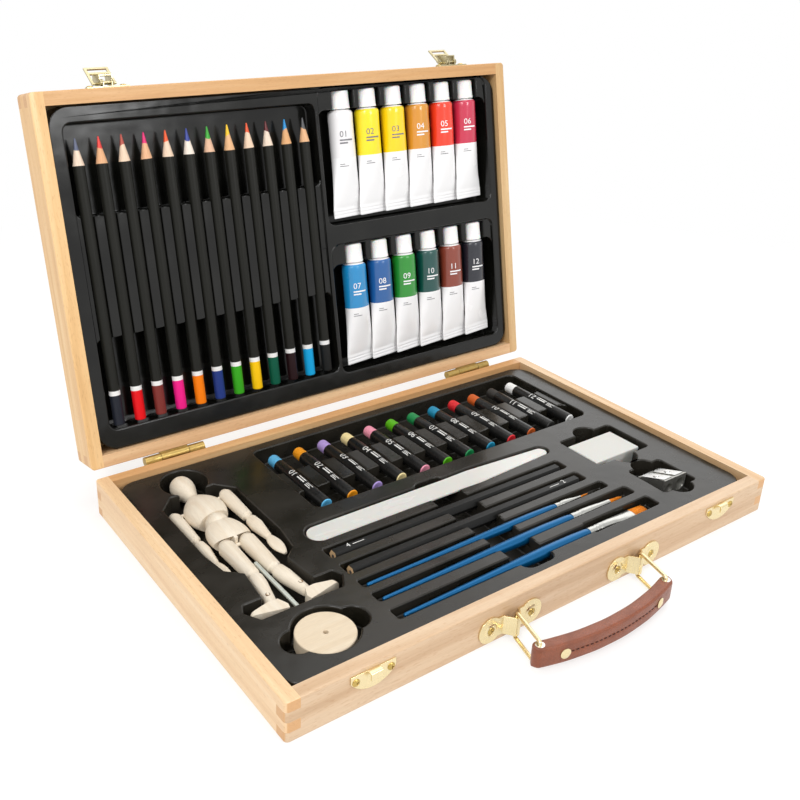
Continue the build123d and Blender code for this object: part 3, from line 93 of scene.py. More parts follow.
class Body(str, Enum):
    """The moving bodies of the box that dressed pieces ride on."""

    BASE = "base"
    LID = "lid"
    GRIP = "handle_grip"
    LEVER_LEFT = "latch_lever_left"
    LEVER_RIGHT = "latch_lever_right"
    LOOP_LEFT = "latch_loop_left"
    LOOP_RIGHT = "latch_loop_right"
    ARM_LEFT = "figure_arm_left"
    ARM_RIGHT = "figure_arm_right"
    LEG_LEFT = "figure_leg_left"
    LEG_RIGHT = "figure_leg_right"


class Grain(Enum):
    """The way the fibres run, as the turn of a frame whose X lies along them."""

    WIDTH = (0.0, 0.0, 0.0)
    DEPTH = (0.0, 0.0, QUARTER)
    LID_WIDTH = (LID_ANGLE, 0.0, 0.0)
    LID_DEPTH = (0.0, -(math.pi + LID_ANGLE), QUARTER)

    def along(self) -> Vector:
        """The direction of the fibres."""
        return Euler(self.value).to_matrix() @ Vector((1, 0, 0))


# Node trees

# Nearly all values of a noise lie between these
USUAL = (0.3, 0.7)
NO_TURN = (0.0, 0.0, 0.0)
# How a pattern's shift is shared between the three axes
SHIFT_WAY = Vector((1.0, 0.7, 0.4))


def linear(code: str) -> Colour:
    """Turn an sRGB hex colour into the linear colour that a shader takes.

    Args:
        code: The colour as "#RRGGBB".

    Returns:
        Linear red, green, blue and an alpha of one.
    """
    parts = [int(code[i : i + 2], 16) / 255 for i in (1, 3, 5)]
    parts = [c / 12.92 if c <= 0.04045 else ((c + 0.055) / 1.055) ** 2.4 for c in parts]
    return (parts[0], parts[1], parts[2], 1.0)


def even(size: float) -> Triple:
    """Cells of one size all round."""
    return (size, size, size)


def thread(long: float, thin: float) -> Triple:
    """Cells drawn out along X."""
    return (long, thin, thin)


class Nodes:
    """A node tree in the making, where a node given as a value stands for its first output."""

    def __init__(self, tree: bpy.types.NodeTree) -> None:
        """Start from the emptied tree."""
        self.tree = tree
        tree.nodes.clear()

    def add(self, kind: str, inputs: dict[int | str, Any] | None = None, **settings: Any) -> bpy.types.Node:
        """Add one node with its settings and links.

        Args:
            kind: The node's type name.
            inputs: Socket names or numbers; a node or socket as value is linked, anything else is set.
            **settings: Properties of the node itself.

        Returns:
            The new node.
        """
        made = self.tree.nodes.new(kind)
        for name, value in settings.items():
            setattr(made, name, value)
        for name, value in (inputs or {}).items():
            if isinstance(value, bpy.types.Node):
                value = value.outputs[0]
            if isinstance(value, bpy.types.NodeSocket):
                self.tree.links.new(value, made.inputs[name])
            else:
                made.inputs[name].default_value = value
        return made

    def framed(self, cell_mm: Triple, turn: Triple = NO_TURN, shift: float = 0.0) -> bpy.types.Node:
        """The object's own place, counted in cells of a real size along a turned frame.

        Args:
            cell_mm: The size of one cell along the frame's three axes.
            turn: The frame's turn as Euler angles.
            shift: How far the pattern is moved, in millimetres, so that two boards differ.

        Returns:
            The mapping node.
        """
        settings = {
            "Vector": self.add("ShaderNodeTexCoord").outputs["Object"],
            "Location": SHIFT_WAY * (shift * MM),
            "Rotation": turn,
            "Scale": tuple(size * MM for size in cell_mm),
        }
        return self.add("ShaderNodeMapping", settings, vector_type="TEXTURE")

    def noise(
        self,
        cell_mm: Triple,
        turn: Triple = NO_TURN,
        shift: float = 0.0,
        detail: float = 3.0,
        twist: float = 0.0,
    ) -> bpy.types.Node:
        """A noise whose cells have a real size.

        Args:
            cell_mm: The size of one cell along the frame's three axes.
            turn: The frame's turn as Euler angles.
            shift: How far the pattern is moved, in millimetres.
            detail: The noise's detail.
            twist: The noise's distortion.

        Returns:
            The noise node.
        """
        place = self.framed(cell_mm, turn, shift)
        cells = {"Vector": place, "Scale": 1.0, "Detail": detail, "Distortion": twist}
        return self.add("ShaderNodeTexNoise", cells)

    def ramp(self, factor: Source, *stops: tuple[float, str]) -> bpy.types.Node:
        """A colour ramp over a factor.

        Args:
            factor: What drives the ramp.
            *stops: Place and hex colour of each stop.

        Returns:
            The ramp node.
        """
        made = self.add("ShaderNodeValToRGB", {"Fac": factor})
        band = made.color_ramp
        while len(band.elements) < len(stops):
            band.elements.new(0.5)
        for element, (where, code) in zip(band.elements, stops):
            element.position = where
            element.color = linear(code)
        return made

    def mix(self, factor: Source, first: Source, second: Source, way: str = "MIX") -> bpy.types.NodeSocket:
        """Two colours, the first at a factor of 0 and the second at 1, mixed in one blend type."""
        sockets = {0: factor, 6: first, 7: second}
        return self.add("ShaderNodeMix", sockets, data_type="RGBA", blend_type=way).outputs[2]

    def span(self, value: Source, target: Pair, source: Pair = USUAL) -> bpy.types.Node:
        """A value moved from its source range to a target range, and kept inside it."""
        ends = {"Value": value, 1: source[0], 2: source[1], 3: target[0], 4: target[1]}
        return self.add("ShaderNodeMapRange", ends)

    def math(self, way: str, *values: Source) -> bpy.types.Node:
        """One sum over up to three values."""
        return self.add("ShaderNodeMath", dict(enumerate(values)), operation=way)

    def bump(self, height: Source, depth_mm: float) -> bpy.types.Node:
        """The normal of a surface raised by so many millimetres at a height of one."""
        return self.add("ShaderNodeBump", {"Strength": 1.0, "Distance": depth_mm * MM, "Height": height})


# Finishes


@dataclass(frozen=True)
class Finish:
    """One real surface: its colour and gloss, with a pattern that a subclass adds."""

    name: str
    colour: str
    roughness: float = 0.5
    metallic: float = 0.0
    ior: float = 1.5
    shine: float = 0.5

    def material(self) -> bpy.types.Material:
        """The material of this finish, made the first time it is asked for.

        Returns:
            The material.
        """
        known = bpy.data.materials.get(self.name)
        if known is not None:
            return known
        made = bpy.data.materials.new(self.name)
        made.use_nodes = True
        made.diffuse_color = linear(self.colour)
        nodes = Nodes(made.node_tree)
        base = {"Base Color": linear(self.colour), "Roughness": self.roughness, "Metallic": self.metallic}
        if not self.metallic:
            base |= {"IOR": self.ior, "Specular IOR Level": self.shine}
        shader = nodes.add("ShaderNodeBsdfPrincipled", base)
        for name, value in self.pattern(nodes).items():
            if isinstance(value, float):
                shader.inputs[name].default_value = value
            else:
                socket = value.outputs[0] if isinstance(value, bpy.types.Node) else value
                nodes.tree.links.new(socket, shader.inputs[name])
        nodes.add("ShaderNodeOutputMaterial", {"Surface": shader})
        return made

    def pattern(self, nodes: Nodes) -> dict[str, Source]:
        """What the surface's own pattern gives to the shader, by the names of its inputs."""
        return {}


@dataclass(frozen=True)
class PlanedWood(Finish):
    """Planed and sealed boards: bands, close fibres, short dark flecks, darker sawn ends, a satin sheen."""

    roughness: float = 0.42
    dark: str = "#CF9C66"
    pale: str = "#F0CE9C"
    fleck: str = "#A8703E"
    end: str = "#D2A26F"
    pore: str = "#C79563"
    grain: Grain = Grain.WIDTH
    shift: float = 0.0
    band_mm: Pair = (170.0, 8.0)
    fibre_mm: Pair = (22.0, 0.7)
    # A beech fleck is about 0.2 mm wide, and is drawn at half a millimetre so that it shows
    fleck_mm: Pair = (3.2, 0.5)
    pore_mm: float = 0.6
    fleck_share: float = 0.24
    sheen: Pair = (0.5, 0.36)
    relief_mm: float = 0.05

    def pattern(self, nodes: Nodes) -> dict[str, Source]:
        """Broad bands, fine fibres, ray flecks and end grain.

        Args:
            nodes: The material's nodes.

        Returns:
            What goes to the shader, by the names of its inputs.
        """
        turn, shift = self.grain.value, self.shift
        bands = nodes.noise(thread(*self.band_mm), turn, shift, 4.0, 0.6)
        fibres = nodes.noise(thread(*self.fibre_mm), turn, shift, 2.0)
        flecks = nodes.noise(thread(*self.fleck_mm), turn, shift, 0.0)
        pores = nodes.noise(even(self.pore_mm), NO_TURN, shift, 2.0)
        tone = nodes.ramp(bands, (0.22, self.dark), (0.5, self.colour), (0.8, self.pale))
        tone = nodes.mix(1.0, tone, nodes.span(fibres, (0.955, 1.03)), "MULTIPLY")
        tone = nodes.mix(nodes.span(flecks, (0.0, self.fleck_share), (0.66, 0.76)), tone, linear(self.fleck))
        facing = nodes.add("ShaderNodeTexCoord").outputs["Normal"]
        lean = nodes.add("ShaderNodeVectorMath", {0: facing, 1: self.grain.along()}, operation="DOT_PRODUCT")
        size = nodes.math("ABSOLUTE", lean.outputs["Value"])
        ends = nodes.ramp(pores, (0.2, self.pore), (0.5, self.end), (0.8, self.end))
        return {
            "Base Color": nodes.mix(nodes.span(size, (0.0, 1.0), (0.75, 0.9)), tone, ends),
            "Roughness": nodes.span(fibres, self.sheen),
            "Normal": nodes.bump(fibres, self.relief_mm),
        }


@dataclass(frozen=True)
class FormedStyrene(Finish):
    """Black high-impact styrene, vacuum formed: deep black with a wet-looking skin that waves slightly."""

    # The lighter colour of the patches: partly a dusting, partly painted sheen
    dust_and_sheen: str = "#23221F"
    dull: float = 0.32
    wave_mm: float = 14.0
    skin_mm: float = 0.9
    dust_and_sheen_mm: Triple = (30.0, 22.0, 26.0)
    skin_share: float = 0.02
    relief_mm: float = 0.25

    def pattern(self, nodes: Nodes) -> dict[str, Source]:
        """A slow wave in the sheet, a fine skin, and lighter patches that are partly a dusting and partly
        painted sheen.

        Args:
            nodes: The material's nodes.

        Returns:
            What goes to the shader, by the names of its inputs.
        """
        wave = nodes.noise(even(self.wave_mm), detail=1.0)
        skin = nodes.noise(even(self.skin_mm), detail=2.0)
        # These patches mix in the lighter colour: partly a dusting, partly painted sheen
        dust_and_sheen_patches = nodes.noise(self.dust_and_sheen_mm, detail=4.0)
        relief = nodes.math("MULTIPLY_ADD", skin, self.skin_share, wave)
        return {
            "Base Color": nodes.ramp(dust_and_sheen_patches, (0.35, self.colour), (0.7, self.dust_and_sheen)),
            "Roughness": nodes.span(dust_and_sheen_patches, (self.roughness, self.dull), (0.35, 0.65)),
            "Normal": nodes.bump(relief, self.relief_mm),
        }


@dataclass(frozen=True)
class PressedMetal(Finish):
    """Sheet or wire metal, plated after pressing: bright, with faint drawing lines and small dull patches."""

    line_mm: Triple = (6.0, 0.3, 6.0)
    patch_mm: float = 3.0
    worn: str = "#9A8A5A"
    wear: float = 0.25
    line_deep_mm: float = 0.002

    def pattern(self, nodes: Nodes) -> dict[str, Source]:
        """Drawing lines in the gloss and cloudy, slightly tarnished patches.

        Args:
            nodes: The material's nodes.

        Returns:
            What goes to the shader, by the names of its inputs.
        """
        lines = nodes.noise(self.line_mm, detail=2.0)
        patches = nodes.noise(even(self.patch_mm), detail=4.0)
        amount = nodes.span(patches, (0.0, self.wear), (0.5, 0.75))
        return {
            "Base Color": nodes.mix(amount, linear(self.colour), linear(self.worn)),
            "Roughness": nodes.span(lines, (self.roughness * 0.7, self.roughness * 1.4)),
            "Normal": nodes.bump(lines, self.line_deep_mm),
        }


@dataclass(frozen=True)
class TintedSkin(Finish):
    """A coat whose colour is stored on the faces, as a dipped, printed or moulded colour is."""

    grain_mm: Triple = (1.0, 1.0, 1.0)
    relief_mm: float = 0.02
    uneven: float = 0.06
    coat: float = 0.0
    coat_roughness: float = 0.12
    glow: float = 0.0
    glow_reach: float = 2.0 * MM

    def pattern(self, nodes: Nodes) -> dict[str, Source]:
        """The stored colour, a little uneven, over a fine relief.

        Args:
            nodes: The material's nodes.

        Returns:
            What goes to the shader, by the names of its inputs.
        """
        tint = nodes.add("ShaderNodeAttribute", attribute_name="tint").outputs["Color"]
        cells = nodes.noise(self.grain_mm)
        shade = nodes.span(cells, (1.0 - self.uneven, 1.0 + self.uneven * 0.5))
        return {
            "Base Color": nodes.mix(1.0, tint, shade, "MULTIPLY"),
            "Roughness": nodes.span(cells, (self.roughness * 0.85, self.roughness * 1.15)),
            "Normal": nodes.bump(cells, self.relief_mm),
            "Coat Weight": self.coat,
            "Coat Roughness": self.coat_roughness,
            "Subsurface Weight": self.glow,
            "Subsurface Scale": self.glow_reach,
        }


@dataclass(frozen=True)
class WaxedLeather(Finish):
    """Split leather with a waxed skin: red-brown, small pebbles with dark creases, lighter where it rubs."""

    crease: str = "#4C1D10"
    rubbed: str = "#AC5530"
    pebble_mm: float = 0.8
    patch_mm: Triple = (9.0, 6.0, 5.0)
    even: float = 0.55
    sheen: Pair = (0.42, 0.28)
    relief_mm: float = 0.06

    def pattern(self, nodes: Nodes) -> dict[str, Source]:
        """Pebbles, creases and rubbed patches.

        Args:
            nodes: The material's nodes.

        Returns:
            What goes to the shader, by the names of its inputs.
        """
        pebbles = {"Vector": nodes.framed(even(self.pebble_mm)), "Scale": 1.0, "Randomness": 0.9}
        cells = nodes.add("ShaderNodeTexVoronoi", pebbles, feature="DISTANCE_TO_EDGE")
        ridge = nodes.span(cells, (0.0, 1.0), (0.0, 0.25))
        patches = nodes.noise(self.patch_mm, detail=5.0)
        tone = nodes.ramp(patches, (0.3, self.crease), (0.5, self.colour), (0.75, self.rubbed))
        tone = nodes.mix(ridge, linear(self.crease), tone)
        return {
            "Base Color": nodes.mix(self.even, tone, linear(self.colour)),
            "Roughness": nodes.span(patches, self.sheen),
            "Normal": nodes.bump(ridge, self.relief_mm),
        }


@dataclass(frozen=True)
class TurnedWood(Finish):
    """Small turned and sanded pieces of pale wood: soft grain along each piece, a dry matt surface."""

    dark: str = "#D6C3A6"
    pale: str = "#EADFCD"
    grain: Grain = Grain.DEPTH
    growth_mm: Triple = (45.0, 3.4, 3.4)
    pore_mm: Triple = (6.0, 0.6, 0.6)
    relief_mm: float = 0.05

    def pattern(self, nodes: Nodes) -> dict[str, Source]:
        """Growth lines along the piece and fine pores.

        Args:
            nodes: The material's nodes.

        Returns:
            What goes to the shader, by the names of its inputs.
        """
        growth = nodes.noise(self.growth_mm, self.grain.value, 5.0, 3.0, 0.5)
        pores = nodes.noise(self.pore_mm, self.grain.value, 2.0, 2.0)
        tone = nodes.ramp(growth, (0.3, self.dark), (0.5, self.colour), (0.75, self.pale))
        return {
            "Base Color": nodes.mix(1.0, tone, nodes.span(pores, (0.94, 1.03)), "MULTIPLY"),
            "Normal": nodes.bump(pores, self.relief_mm),
        }


# Beech boards in the tones of their places: dark, middle and pale, warm and close-grained to the eye. The
# tones are partly the boards' own difference and partly painted light: each wall is made paler or darker for
# the light that falls on it where it stands
BOARDS = {
    "base_front": ("#BE9A76", "#CEAE8B", "#DEC4A5"),
    "base_back": ("#C2905C", "#D3A36F", "#E1BD8B"),
    "base_left": ("#D8B086", "#E8C599", "#F3DAB8"),
    "base_right": ("#C0966A", "#D2AC7F", "#DFC29B"),
    "lid_front": ("#BF8C58", "#CE9F6A", "#DCB384"),
    "lid_back": ("#CBA073", "#DDB488", "#EACBA0"),
    "lid_left": ("#D0A067", "#E2B77E", "#EFCE9C"),
    "lid_right": ("#BF935F", "#D0A975", "#E0C192"),
}
# Flat ply faces: paler, yellower and calmer than the solid boards round them
PLYWOOD = PlanedWood(
    "birch_plywood_sealed", "#DFC294", 0.5, dark="#D2B181", pale="#E8D0A8", band_mm=(170.0, 10.0)
)
# The lid's sheet: near black and wet-looking, so that its lips draw bright lines
LID_STYRENE = FormedStyrene(
    "styrene_black_formed_glossy", "#0C0C0A", 0.12, shine=0.38, dust_and_sheen="#141411", dull=0.22
)
# The base's sheet: the same plastic, made lighter than the lid's in its colour and its patches: partly a
# dusting, partly painted sheen that stands for the brighter reflections on its flats
BASE_STYRENE = FormedStyrene("styrene_black_formed_dusty", "#1C1A14", 0.22, shine=0.32, dust_and_sheen="#2C2924")
# Brackets, rings, catches and rivets: light straw-gold that mirrors the white room
PALE_BRASS = PressedMetal("steel_pressed_pale_brass_plated", "#EAD9AC", 0.25, 1.0, worn="#D2BE88", wear=0.15)
# The latches: a cooler, greyer gold, cloudy where it is handled
LATCH_BRASS = PressedMetal("steel_pressed_yellow_zinc_plated", "#BDB28E", 0.3, 1.0, worn="#8D7F55", wear=0.4)
# The hinges: deeper yellow and duller than the other fittings
HINGE_BRASS = PressedMetal("steel_rolled_brass_plated", "#B0965A", 0.4, 1.0, worn="#7C6534", wear=0.4)
# Screw heads: small warm points, darker than the plate round them
BRASS_SCREW = PressedMetal("brass_screw_turned", "#C4A862", 0.3, 1.0, worn="#84693A", line_mm=even(0.4))
# The tubes in the grip's ends: a cool white mirror
NICKEL = PressedMetal("steel_tube_nickel_plated", "#D6D4CF", 0.2, 1.0, worn="#8F8B84")
# The grip: red-brown with a soft waxed shine and dark creases
LEATHER = WaxedLeather("leather_waxed_red_brown", "#8C4825", 0.32, shine=0.55)
# The grip's seam: dull and almost black-brown in its groove
SEAM_THREAD = TintedSkin("thread_waxed_dark", "#3A140B", 0.7, grain_mm=even(0.3), relief_mm=0.05)
# Pencils: smooth dipped paint with a long soft highlight
LACQUER = TintedSkin(
    "pencil_lacquer_dipped", "#1A1A19", 0.4, shine=0.18, grain_mm=even(30.0), relief_mm=0.03
)
# Sharpened cones: raw pinkish wood with fine rings from the blade, quite dry
SHARPENED = TintedSkin("basswood_cut_by_sharpener", "#E9BE93", 0.7, grain_mm=(0.35, 6.0, 6.0), uneven=0.14)
# Leads: waxy colour with a low sheen
WAX_LEAD = TintedSkin("wax_lead_cut", "#303030", 0.38, grain_mm=even(0.5), uneven=0.1)
# Tubes: white or coloured print under a clear lacquer, with a crisp second highlight
TUBE_SKIN = TintedSkin(
    "aluminium_tube_lacquered_and_printed", "#F1EFEE", 0.24, grain_mm=even(18.0), relief_mm=0.06, uneven=0.01,
    coat=0.5,
)
# Caps: milky white that lets a little light in
CAP_PLASTIC = TintedSkin("polypropylene_cap_moulded", "#F4F2F0", 0.36, grain_mm=even(0.8), glow=0.3)
# Pastels: dense greasy colour, slightly grainy
PASTEL_WAX = TintedSkin(
    "oil_pastel_cast", "#888888", 0.52, grain_mm=(0.9, 1.6, 0.9), relief_mm=0.07, uneven=0.12
)
# Sleeves: glossy black paper with soft wrinkles
SLEEVE_PAPER = TintedSkin(
    "paper_sleeve_printed_black", "#151515", 0.3, shine=0.3, grain_mm=even(2.5), relief_mm=0.03
)
# The palette knife: cloudy white plastic, smooth and faintly lit from inside
FROSTED = TintedSkin(
    "polystyrene_frosted_white", "#D2D0CA", 0.26, grain_mm=(40.0, 12.0, 12.0), relief_mm=0.01, uneven=0.02,
    glow=0.3,
)
# Brush handles: blue with metal flakes that glint under the lacquer
BRUSH_LACQUER = TintedSkin(
    "brush_handle_metallic_blue", "#005A8C", 0.3, 0.6, shine=0.1, grain_mm=even(0.25), relief_mm=0.01,
    coat=0.05,
)
# Ferrules: silvery, drawn lengthwise, soft-edged reflections
FERRULE = PressedMetal("aluminium_ferrule_drawn", "#B8B8B3", 0.26, 1.0, worn="#7C7E80", wear=0.3)
# Brush hair: strong orange strands, light and dark side by side
HAIR = TintedSkin("nylon_bristle_orange", "#E98A12", 0.42, grain_mm=(0.4, 3.0, 0.4), uneven=0.3)
# The eraser: matt warm white with soft shadows
VINYL = TintedSkin("vinyl_eraser_white", "#CDCCC6", 0.62, grain_mm=even(0.5), relief_mm=0.04, glow=0.15)
# The sharpener: grey cast metal, tumbled to a fine dull grain
MAGNESIUM = PressedMetal(
    "magnesium_cast_and_tumbled", "#A3A29C", 0.34, 0.85, worn="#6E6C68", line_mm=even(0.6)
)
# Blades: a bright face with honing lines across it
HONED = PressedMetal("steel_blade_honed", "#DADAD8", 0.24, 1.0, worn="#A4A4A6", line_mm=(8.0, 0.2, 8.0))
# The figure: pale sanded wood without gloss
FIGURE_WOOD = TurnedWood("lotus_wood_turned_and_sanded", "#E0D3BE", 0.58, dark="#DBCBB4", pale="#E5DAC8")
# The figure's foot: the same wood, a little browner on its sawn face
STAND_WOOD = TurnedWood(
    "lotus_wood_disc_sanded", "#D8C6AB", 0.6, dark="#D4C1A5", pale="#DCCCB3", grain=Grain.WIDTH
)
# Dowels in the ankles: small dark rings of end grain
DOWEL_END = TintedSkin("beech_dowel_end_cut", "#A88963", 0.6, grain_mm=even(0.3), uneven=0.2)
# The figure's rod: greenish white metal, softly blurred
ROD_STEEL = PressedMetal("steel_rod_drawn", "#D2D8D0", 0.36, 0.6, worn="#B4B9B1")
# Printed numbers and bars: flat opaque ink
PRINT = TintedSkin("ink_screen_printed", "#F2F2F0", 0.5, grain_mm=even(0.5))


# Meshes in the making

# The ring that closes a turned shape is this small
POINT_RADIUS = 0.01
# A rounded corner takes up no more than this share of a leg
LEG_SHARE = 0.45


def turns(count: int) -> list[float]:
    """Equal turns round a circle, in radians."""
    return [2 * math.pi * i / count for i in range(count)]


def oval(wide: float, along: float, thick: float, count: int) -> list[Vector]:
    """A ring of points about Y with its two radii, at a distance along it."""
    return [Vector((wide * math.sin(t), along, thick * math.cos(t))) for t in turns(count)]


def pairs(loop: Sequence[Any]) -> list[tuple[Any, Any]]:
    """Each item of a closed loop with the one after it."""
    return list(zip(loop, [*loop[1:], loop[0]]))


@dataclass
class Shell:
    """A mesh in the making, in millimetres: its points, faces, and each face's tint and finish."""

    name: str
    finishes: Sequence[Finish]
    points: list[Vector] = field(default_factory=list)
    faces: list[tuple[int, ...]] = field(default_factory=list)
    tints: list[Colour] = field(default_factory=list)
    slots: list[int] = field(default_factory=list)

    def ring(self, points: Iterable[Vector], place: Matrix) -> list[int]:
        """Add points through a place.

        Args:
            points: The points, in millimetres.
            place: Where they go.

        Returns:
            Their numbers in the mesh.
        """
        start = len(self.points)
        self.points.extend(place @ p for p in points)
        return list(range(start, len(self.points)))

    def face(self, corners: Sequence[int], tint: str, slot: int = 0) -> None:
        """Add one face.

        Args:
            corners: The numbers of its points.
            tint: Its hex colour.
            slot: The number of its finish.
        """
        self.faces.append(tuple(corners))
        self.tints.append(linear(tint))
        self.slots.append(slot)

    def patch(self, flat: Flat, place: Matrix, tint: str) -> None:
        """Add a flat printed shape.

        Args:
            flat: Its points and faces.
            place: Where it goes.
            tint: Its hex colour.
        """
        points, faces = flat
        numbers = self.ring(points, place)
        for corners in faces:
            self.face([numbers[c] for c in corners], tint)

    def skin(
        self,
        rings: Sequence[list[int]],
        tints: str | Sequence[str],
        slots: Sequence[int] = (),
        caps: bool = True,
    ) -> None:
        """Join a row of rings of equal count into a tube.

        Args:
            rings: The rings, in order, each turning the same way.
            tints: One tint for all, or one for each gap between rings.
            slots: One finish number for each gap, or nothing for the first finish throughout.
            caps: Whether the first and last ring are closed.
        """
        gaps = len(rings) - 1
        tints = [tints] * gaps if isinstance(tints, str) else tints
        slots = slots or [0] * gaps
        for gap, (low, high) in enumerate(zip(rings, rings[1:])):
            for (a, b), (c, d) in zip(pairs(low), pairs(high)):
                self.face((a, b, d, c), tints[gap], slots[gap])
        if caps:
            self.face(rings[0][::-1], tints[0], slots[0])
            self.face(rings[-1], tints[-1], slots[-1])

    def lathe(self, outline: Outline, place: Matrix, tints: str | Sequence[str], sides: int = 32) -> None:
        """Turn an outline about Y.

        Args:
            outline: Points as (radius, along), where a radius of 0 closes the shape.
            place: Where it goes.
            tints: One tint for all, or one for each gap in the outline.
            sides: The flats round it.
        """
        reaches = [(max(radius, POINT_RADIUS), along) for radius, along in outline]
        self.skin([self.ring(oval(r, along, r, sides), place) for r, along in reaches], tints)

    def made(self, sharp: float = 35.0) -> bpy.types.Object:
        """Turn the points and faces into an object in metres.

        Args:
            sharp: Edges up to this angle in degrees are shaded smooth.

        Returns:
            The object, its faces turned outward.
        """
        mesh = bpy.data.meshes.new(self.name)
        mesh.from_pydata([p * MM for p in self.points], [], self.faces)
        tint = mesh.attributes.new("tint", "FLOAT_COLOR", "FACE")
        for item, value in zip(tint.data, self.tints):
            item.color = value
        mesh.polygons.foreach_set("material_index", self.slots)
        for finish in self.finishes:
            mesh.materials.append(finish.material())
        mesh.update()
        form = bmesh.new()
        form.from_mesh(mesh)
        bmesh.ops.recalc_face_normals(form, faces=form.faces)
        form.to_mesh(mesh)
        form.free()
        return placed(mesh, self.name, sharp)


def linked(name: str, data: bpy.types.ID) -> bpy.types.Object:
    """Put something in the scene at the origin.

    Args:
        name: The object's name.
        data: Its mesh, curve, lamp or camera.

    Returns:
        The object.
    """
    made = bpy.data.objects.new(name, data)
    bpy.context.scene.collection.objects.link(made)
    return made


def placed(mesh: bpy.types.Mesh, name: str, sharp: float) -> bpy.types.Object:
    """Put a finished mesh in the scene.

    Args:
        mesh: The mesh, in metres.
        name: The object's name.
        sharp: Edges up to this angle in degrees are shaded smooth.

    Returns:
        The object, at the origin.
    """
    mesh.shade_smooth()
    mesh.set_sharp_from_angle(angle=math.radians(sharp))
    return linked(name, mesh)


def eased(outline: Outline, radius: float, steps: int = 3) -> list[Pair]:
    """Round the inner corners of an open outline.

    Args:
        outline: The points.
        radius: How far along each leg the rounding starts, at most.
        steps: The parts of each rounding.

    Returns:
        The outline with its corners rounded.
    """
    points = [Vector(p) for p in outline]
    made = [tuple(points[0])]
    for before, here, after in zip(points, points[1:], points[2:]):
        back, on = before - here, after - here
        reach = min(radius, back.length * LEG_SHARE, on.length * LEG_SHARE)
        start, end = here + back.normalized() * reach, here + on.normalized() * reach
        for k in range(steps + 1):
            t = k / steps
            made.append(tuple(start * (1 - t) ** 2 + here * (2 * t * (1 - t)) + end * t**2))
    made.append(tuple(points[-1]))
    return made


# CAD solids in their finishes

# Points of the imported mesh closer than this, in metres, are one
SAME_POINT = 2e-6
# Faces that lean less than this to each other are one flat face
FLAT = math.radians(0.6)
# Edges sharper than this are eased
SHARP = math.radians(38)
# How strongly the shading follows the broad faces
BROAD_WEIGHT = 80


def joined(node: str) -> bmesh.types.BMesh:
    """A CAD node's mesh with its loose triangles merged and its flat faces made whole.

    Args:
        node: The CAD node.

    Returns:
        The mesh, in metres.
    """
    form = bmesh.new()
    form.from_mesh(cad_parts[node].data)
    bmesh.ops.remove_doubles(form, verts=form.verts, dist=SAME_POINT)
    bmesh.ops.dissolve_limit(form, angle_limit=FLAT, verts=form.verts, edges=form.edges)
    return form


def ease(
    form: bmesh.types.BMesh,
    edges: Sequence[bmesh.types.BMEdge],
    width_mm: float,
    segments: int,
    clamp: bool = True,
) -> None:
    """Round some edges of a mesh in metres.

    Args:
        form: The mesh.
        edges: The edges.
        width_mm: How far the rounding reaches, in millimetres.
        segments: The parts of each rounding.
        clamp: Whether roundings stop where they would overlap.
    """
    bmesh.ops.bevel(
        form,
        geom=edges,
        offset=width_mm * MM,
        offset_type="OFFSET",
        segments=segments,
        profile=0.5,
        affect="EDGES",
        clamp_overlap=clamp,
    )


def ease_sharp(form: bmesh.types.BMesh, width_mm: float, segments: int) -> None:
    """Round every sharp edge of a mesh by a width in millimetres."""
    edges = [e for e in form.edges if len(e.link_faces) == 2 and e.calc_face_angle(0.0) > SHARP]
    ease(form, edges, width_mm, segments)


def plain(form: bmesh.types.BMesh, name: str, finish: Finish, sharp: float = 50.0) -> bpy.types.Object:
    """Turn a mesh in metres into an object in one finish, with shading weighted to its broad faces.

    Args:
        form: The mesh, which is used up.
        name: The object's name.
        finish: Its finish.
        sharp: Edges up to this angle in degrees are shaded smooth.

    Returns:
        The object.
    """
    mesh = bpy.data.meshes.new(name)
    form.to_mesh(mesh)
    form.free()
    mesh.materials.append(finish.material())
    tint = mesh.attributes.new("tint", "FLOAT_COLOR", "FACE")
    for item in tint.data:
        item.color = linear(finish.colour)
    made = placed(mesh, name, sharp)
    weighted = made.modifiers.new("weighted_shading", "WEIGHTED_NORMAL")
    weighted.mode = "FACE_AREA"
    weighted.weight = BROAD_WEIGHT
    weighted.keep_sharp = True
    return made


def dress(node: str, finish: Finish) -> None:
    """Give a CAD node that keeps its own shape its finish.

    Args:
        node: The CAD node.
        finish: Its finish.
    """
    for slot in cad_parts[node].material_slots:
        slot.material = finish.material()
    LOG.info("%s keeps its solid, in %s", node, finish.name)


def ride(piece: bpy.types.Object, body: Body, node: str | None = None) -> None:
    """Let a finished piece ride on a body and report it.

    Args:
        piece: The piece.
        body: The body it moves with.
        node: The CAD node that it replaces, if any.
    """
    if node is not None:
        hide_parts(node)
    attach(piece, body.value)
    LOG.info("%s rides on %s, %d faces", piece.name, body.value, len(piece.data.polygons))


def soften(node: str, finish: Finish, width_mm: float, body: Body, segments: int = 2) -> None:
    """Replace a CAD node by a copy with its sharp edges eased.

    Args:
        node: The CAD node.
        finish: The copy's finish.
        width_mm: The width of the easing.
        body: The body it moves with.
        segments: The parts of each easing.
    """
    form = joined(node)
    ease_sharp(form, width_mm, segments)
    ride(plain(form, f"{node}_finished", finish), body, node)


# Repeats over points, by Geometry Nodes


def scattered(name: str, points: Sequence[Vector], title: str, values: Sequence[Any]) -> bpy.types.Object:
    """Loose points that each carry a vector.

    Args:
        name: The object's name.
        points: The points, in metres.
        title: The name of the stored vector.
        values: The vector of each point.

    Returns:
        The object, ready for a node tree.
    """
    mesh = bpy.data.meshes.new(name)
    mesh.from_pydata(points, [], [])
    stored = mesh.attributes.new(title, "FLOAT_VECTOR", "POINT")
    for item, value in zip(stored.data, values):
        item.vector = value
    return linked(name, mesh)


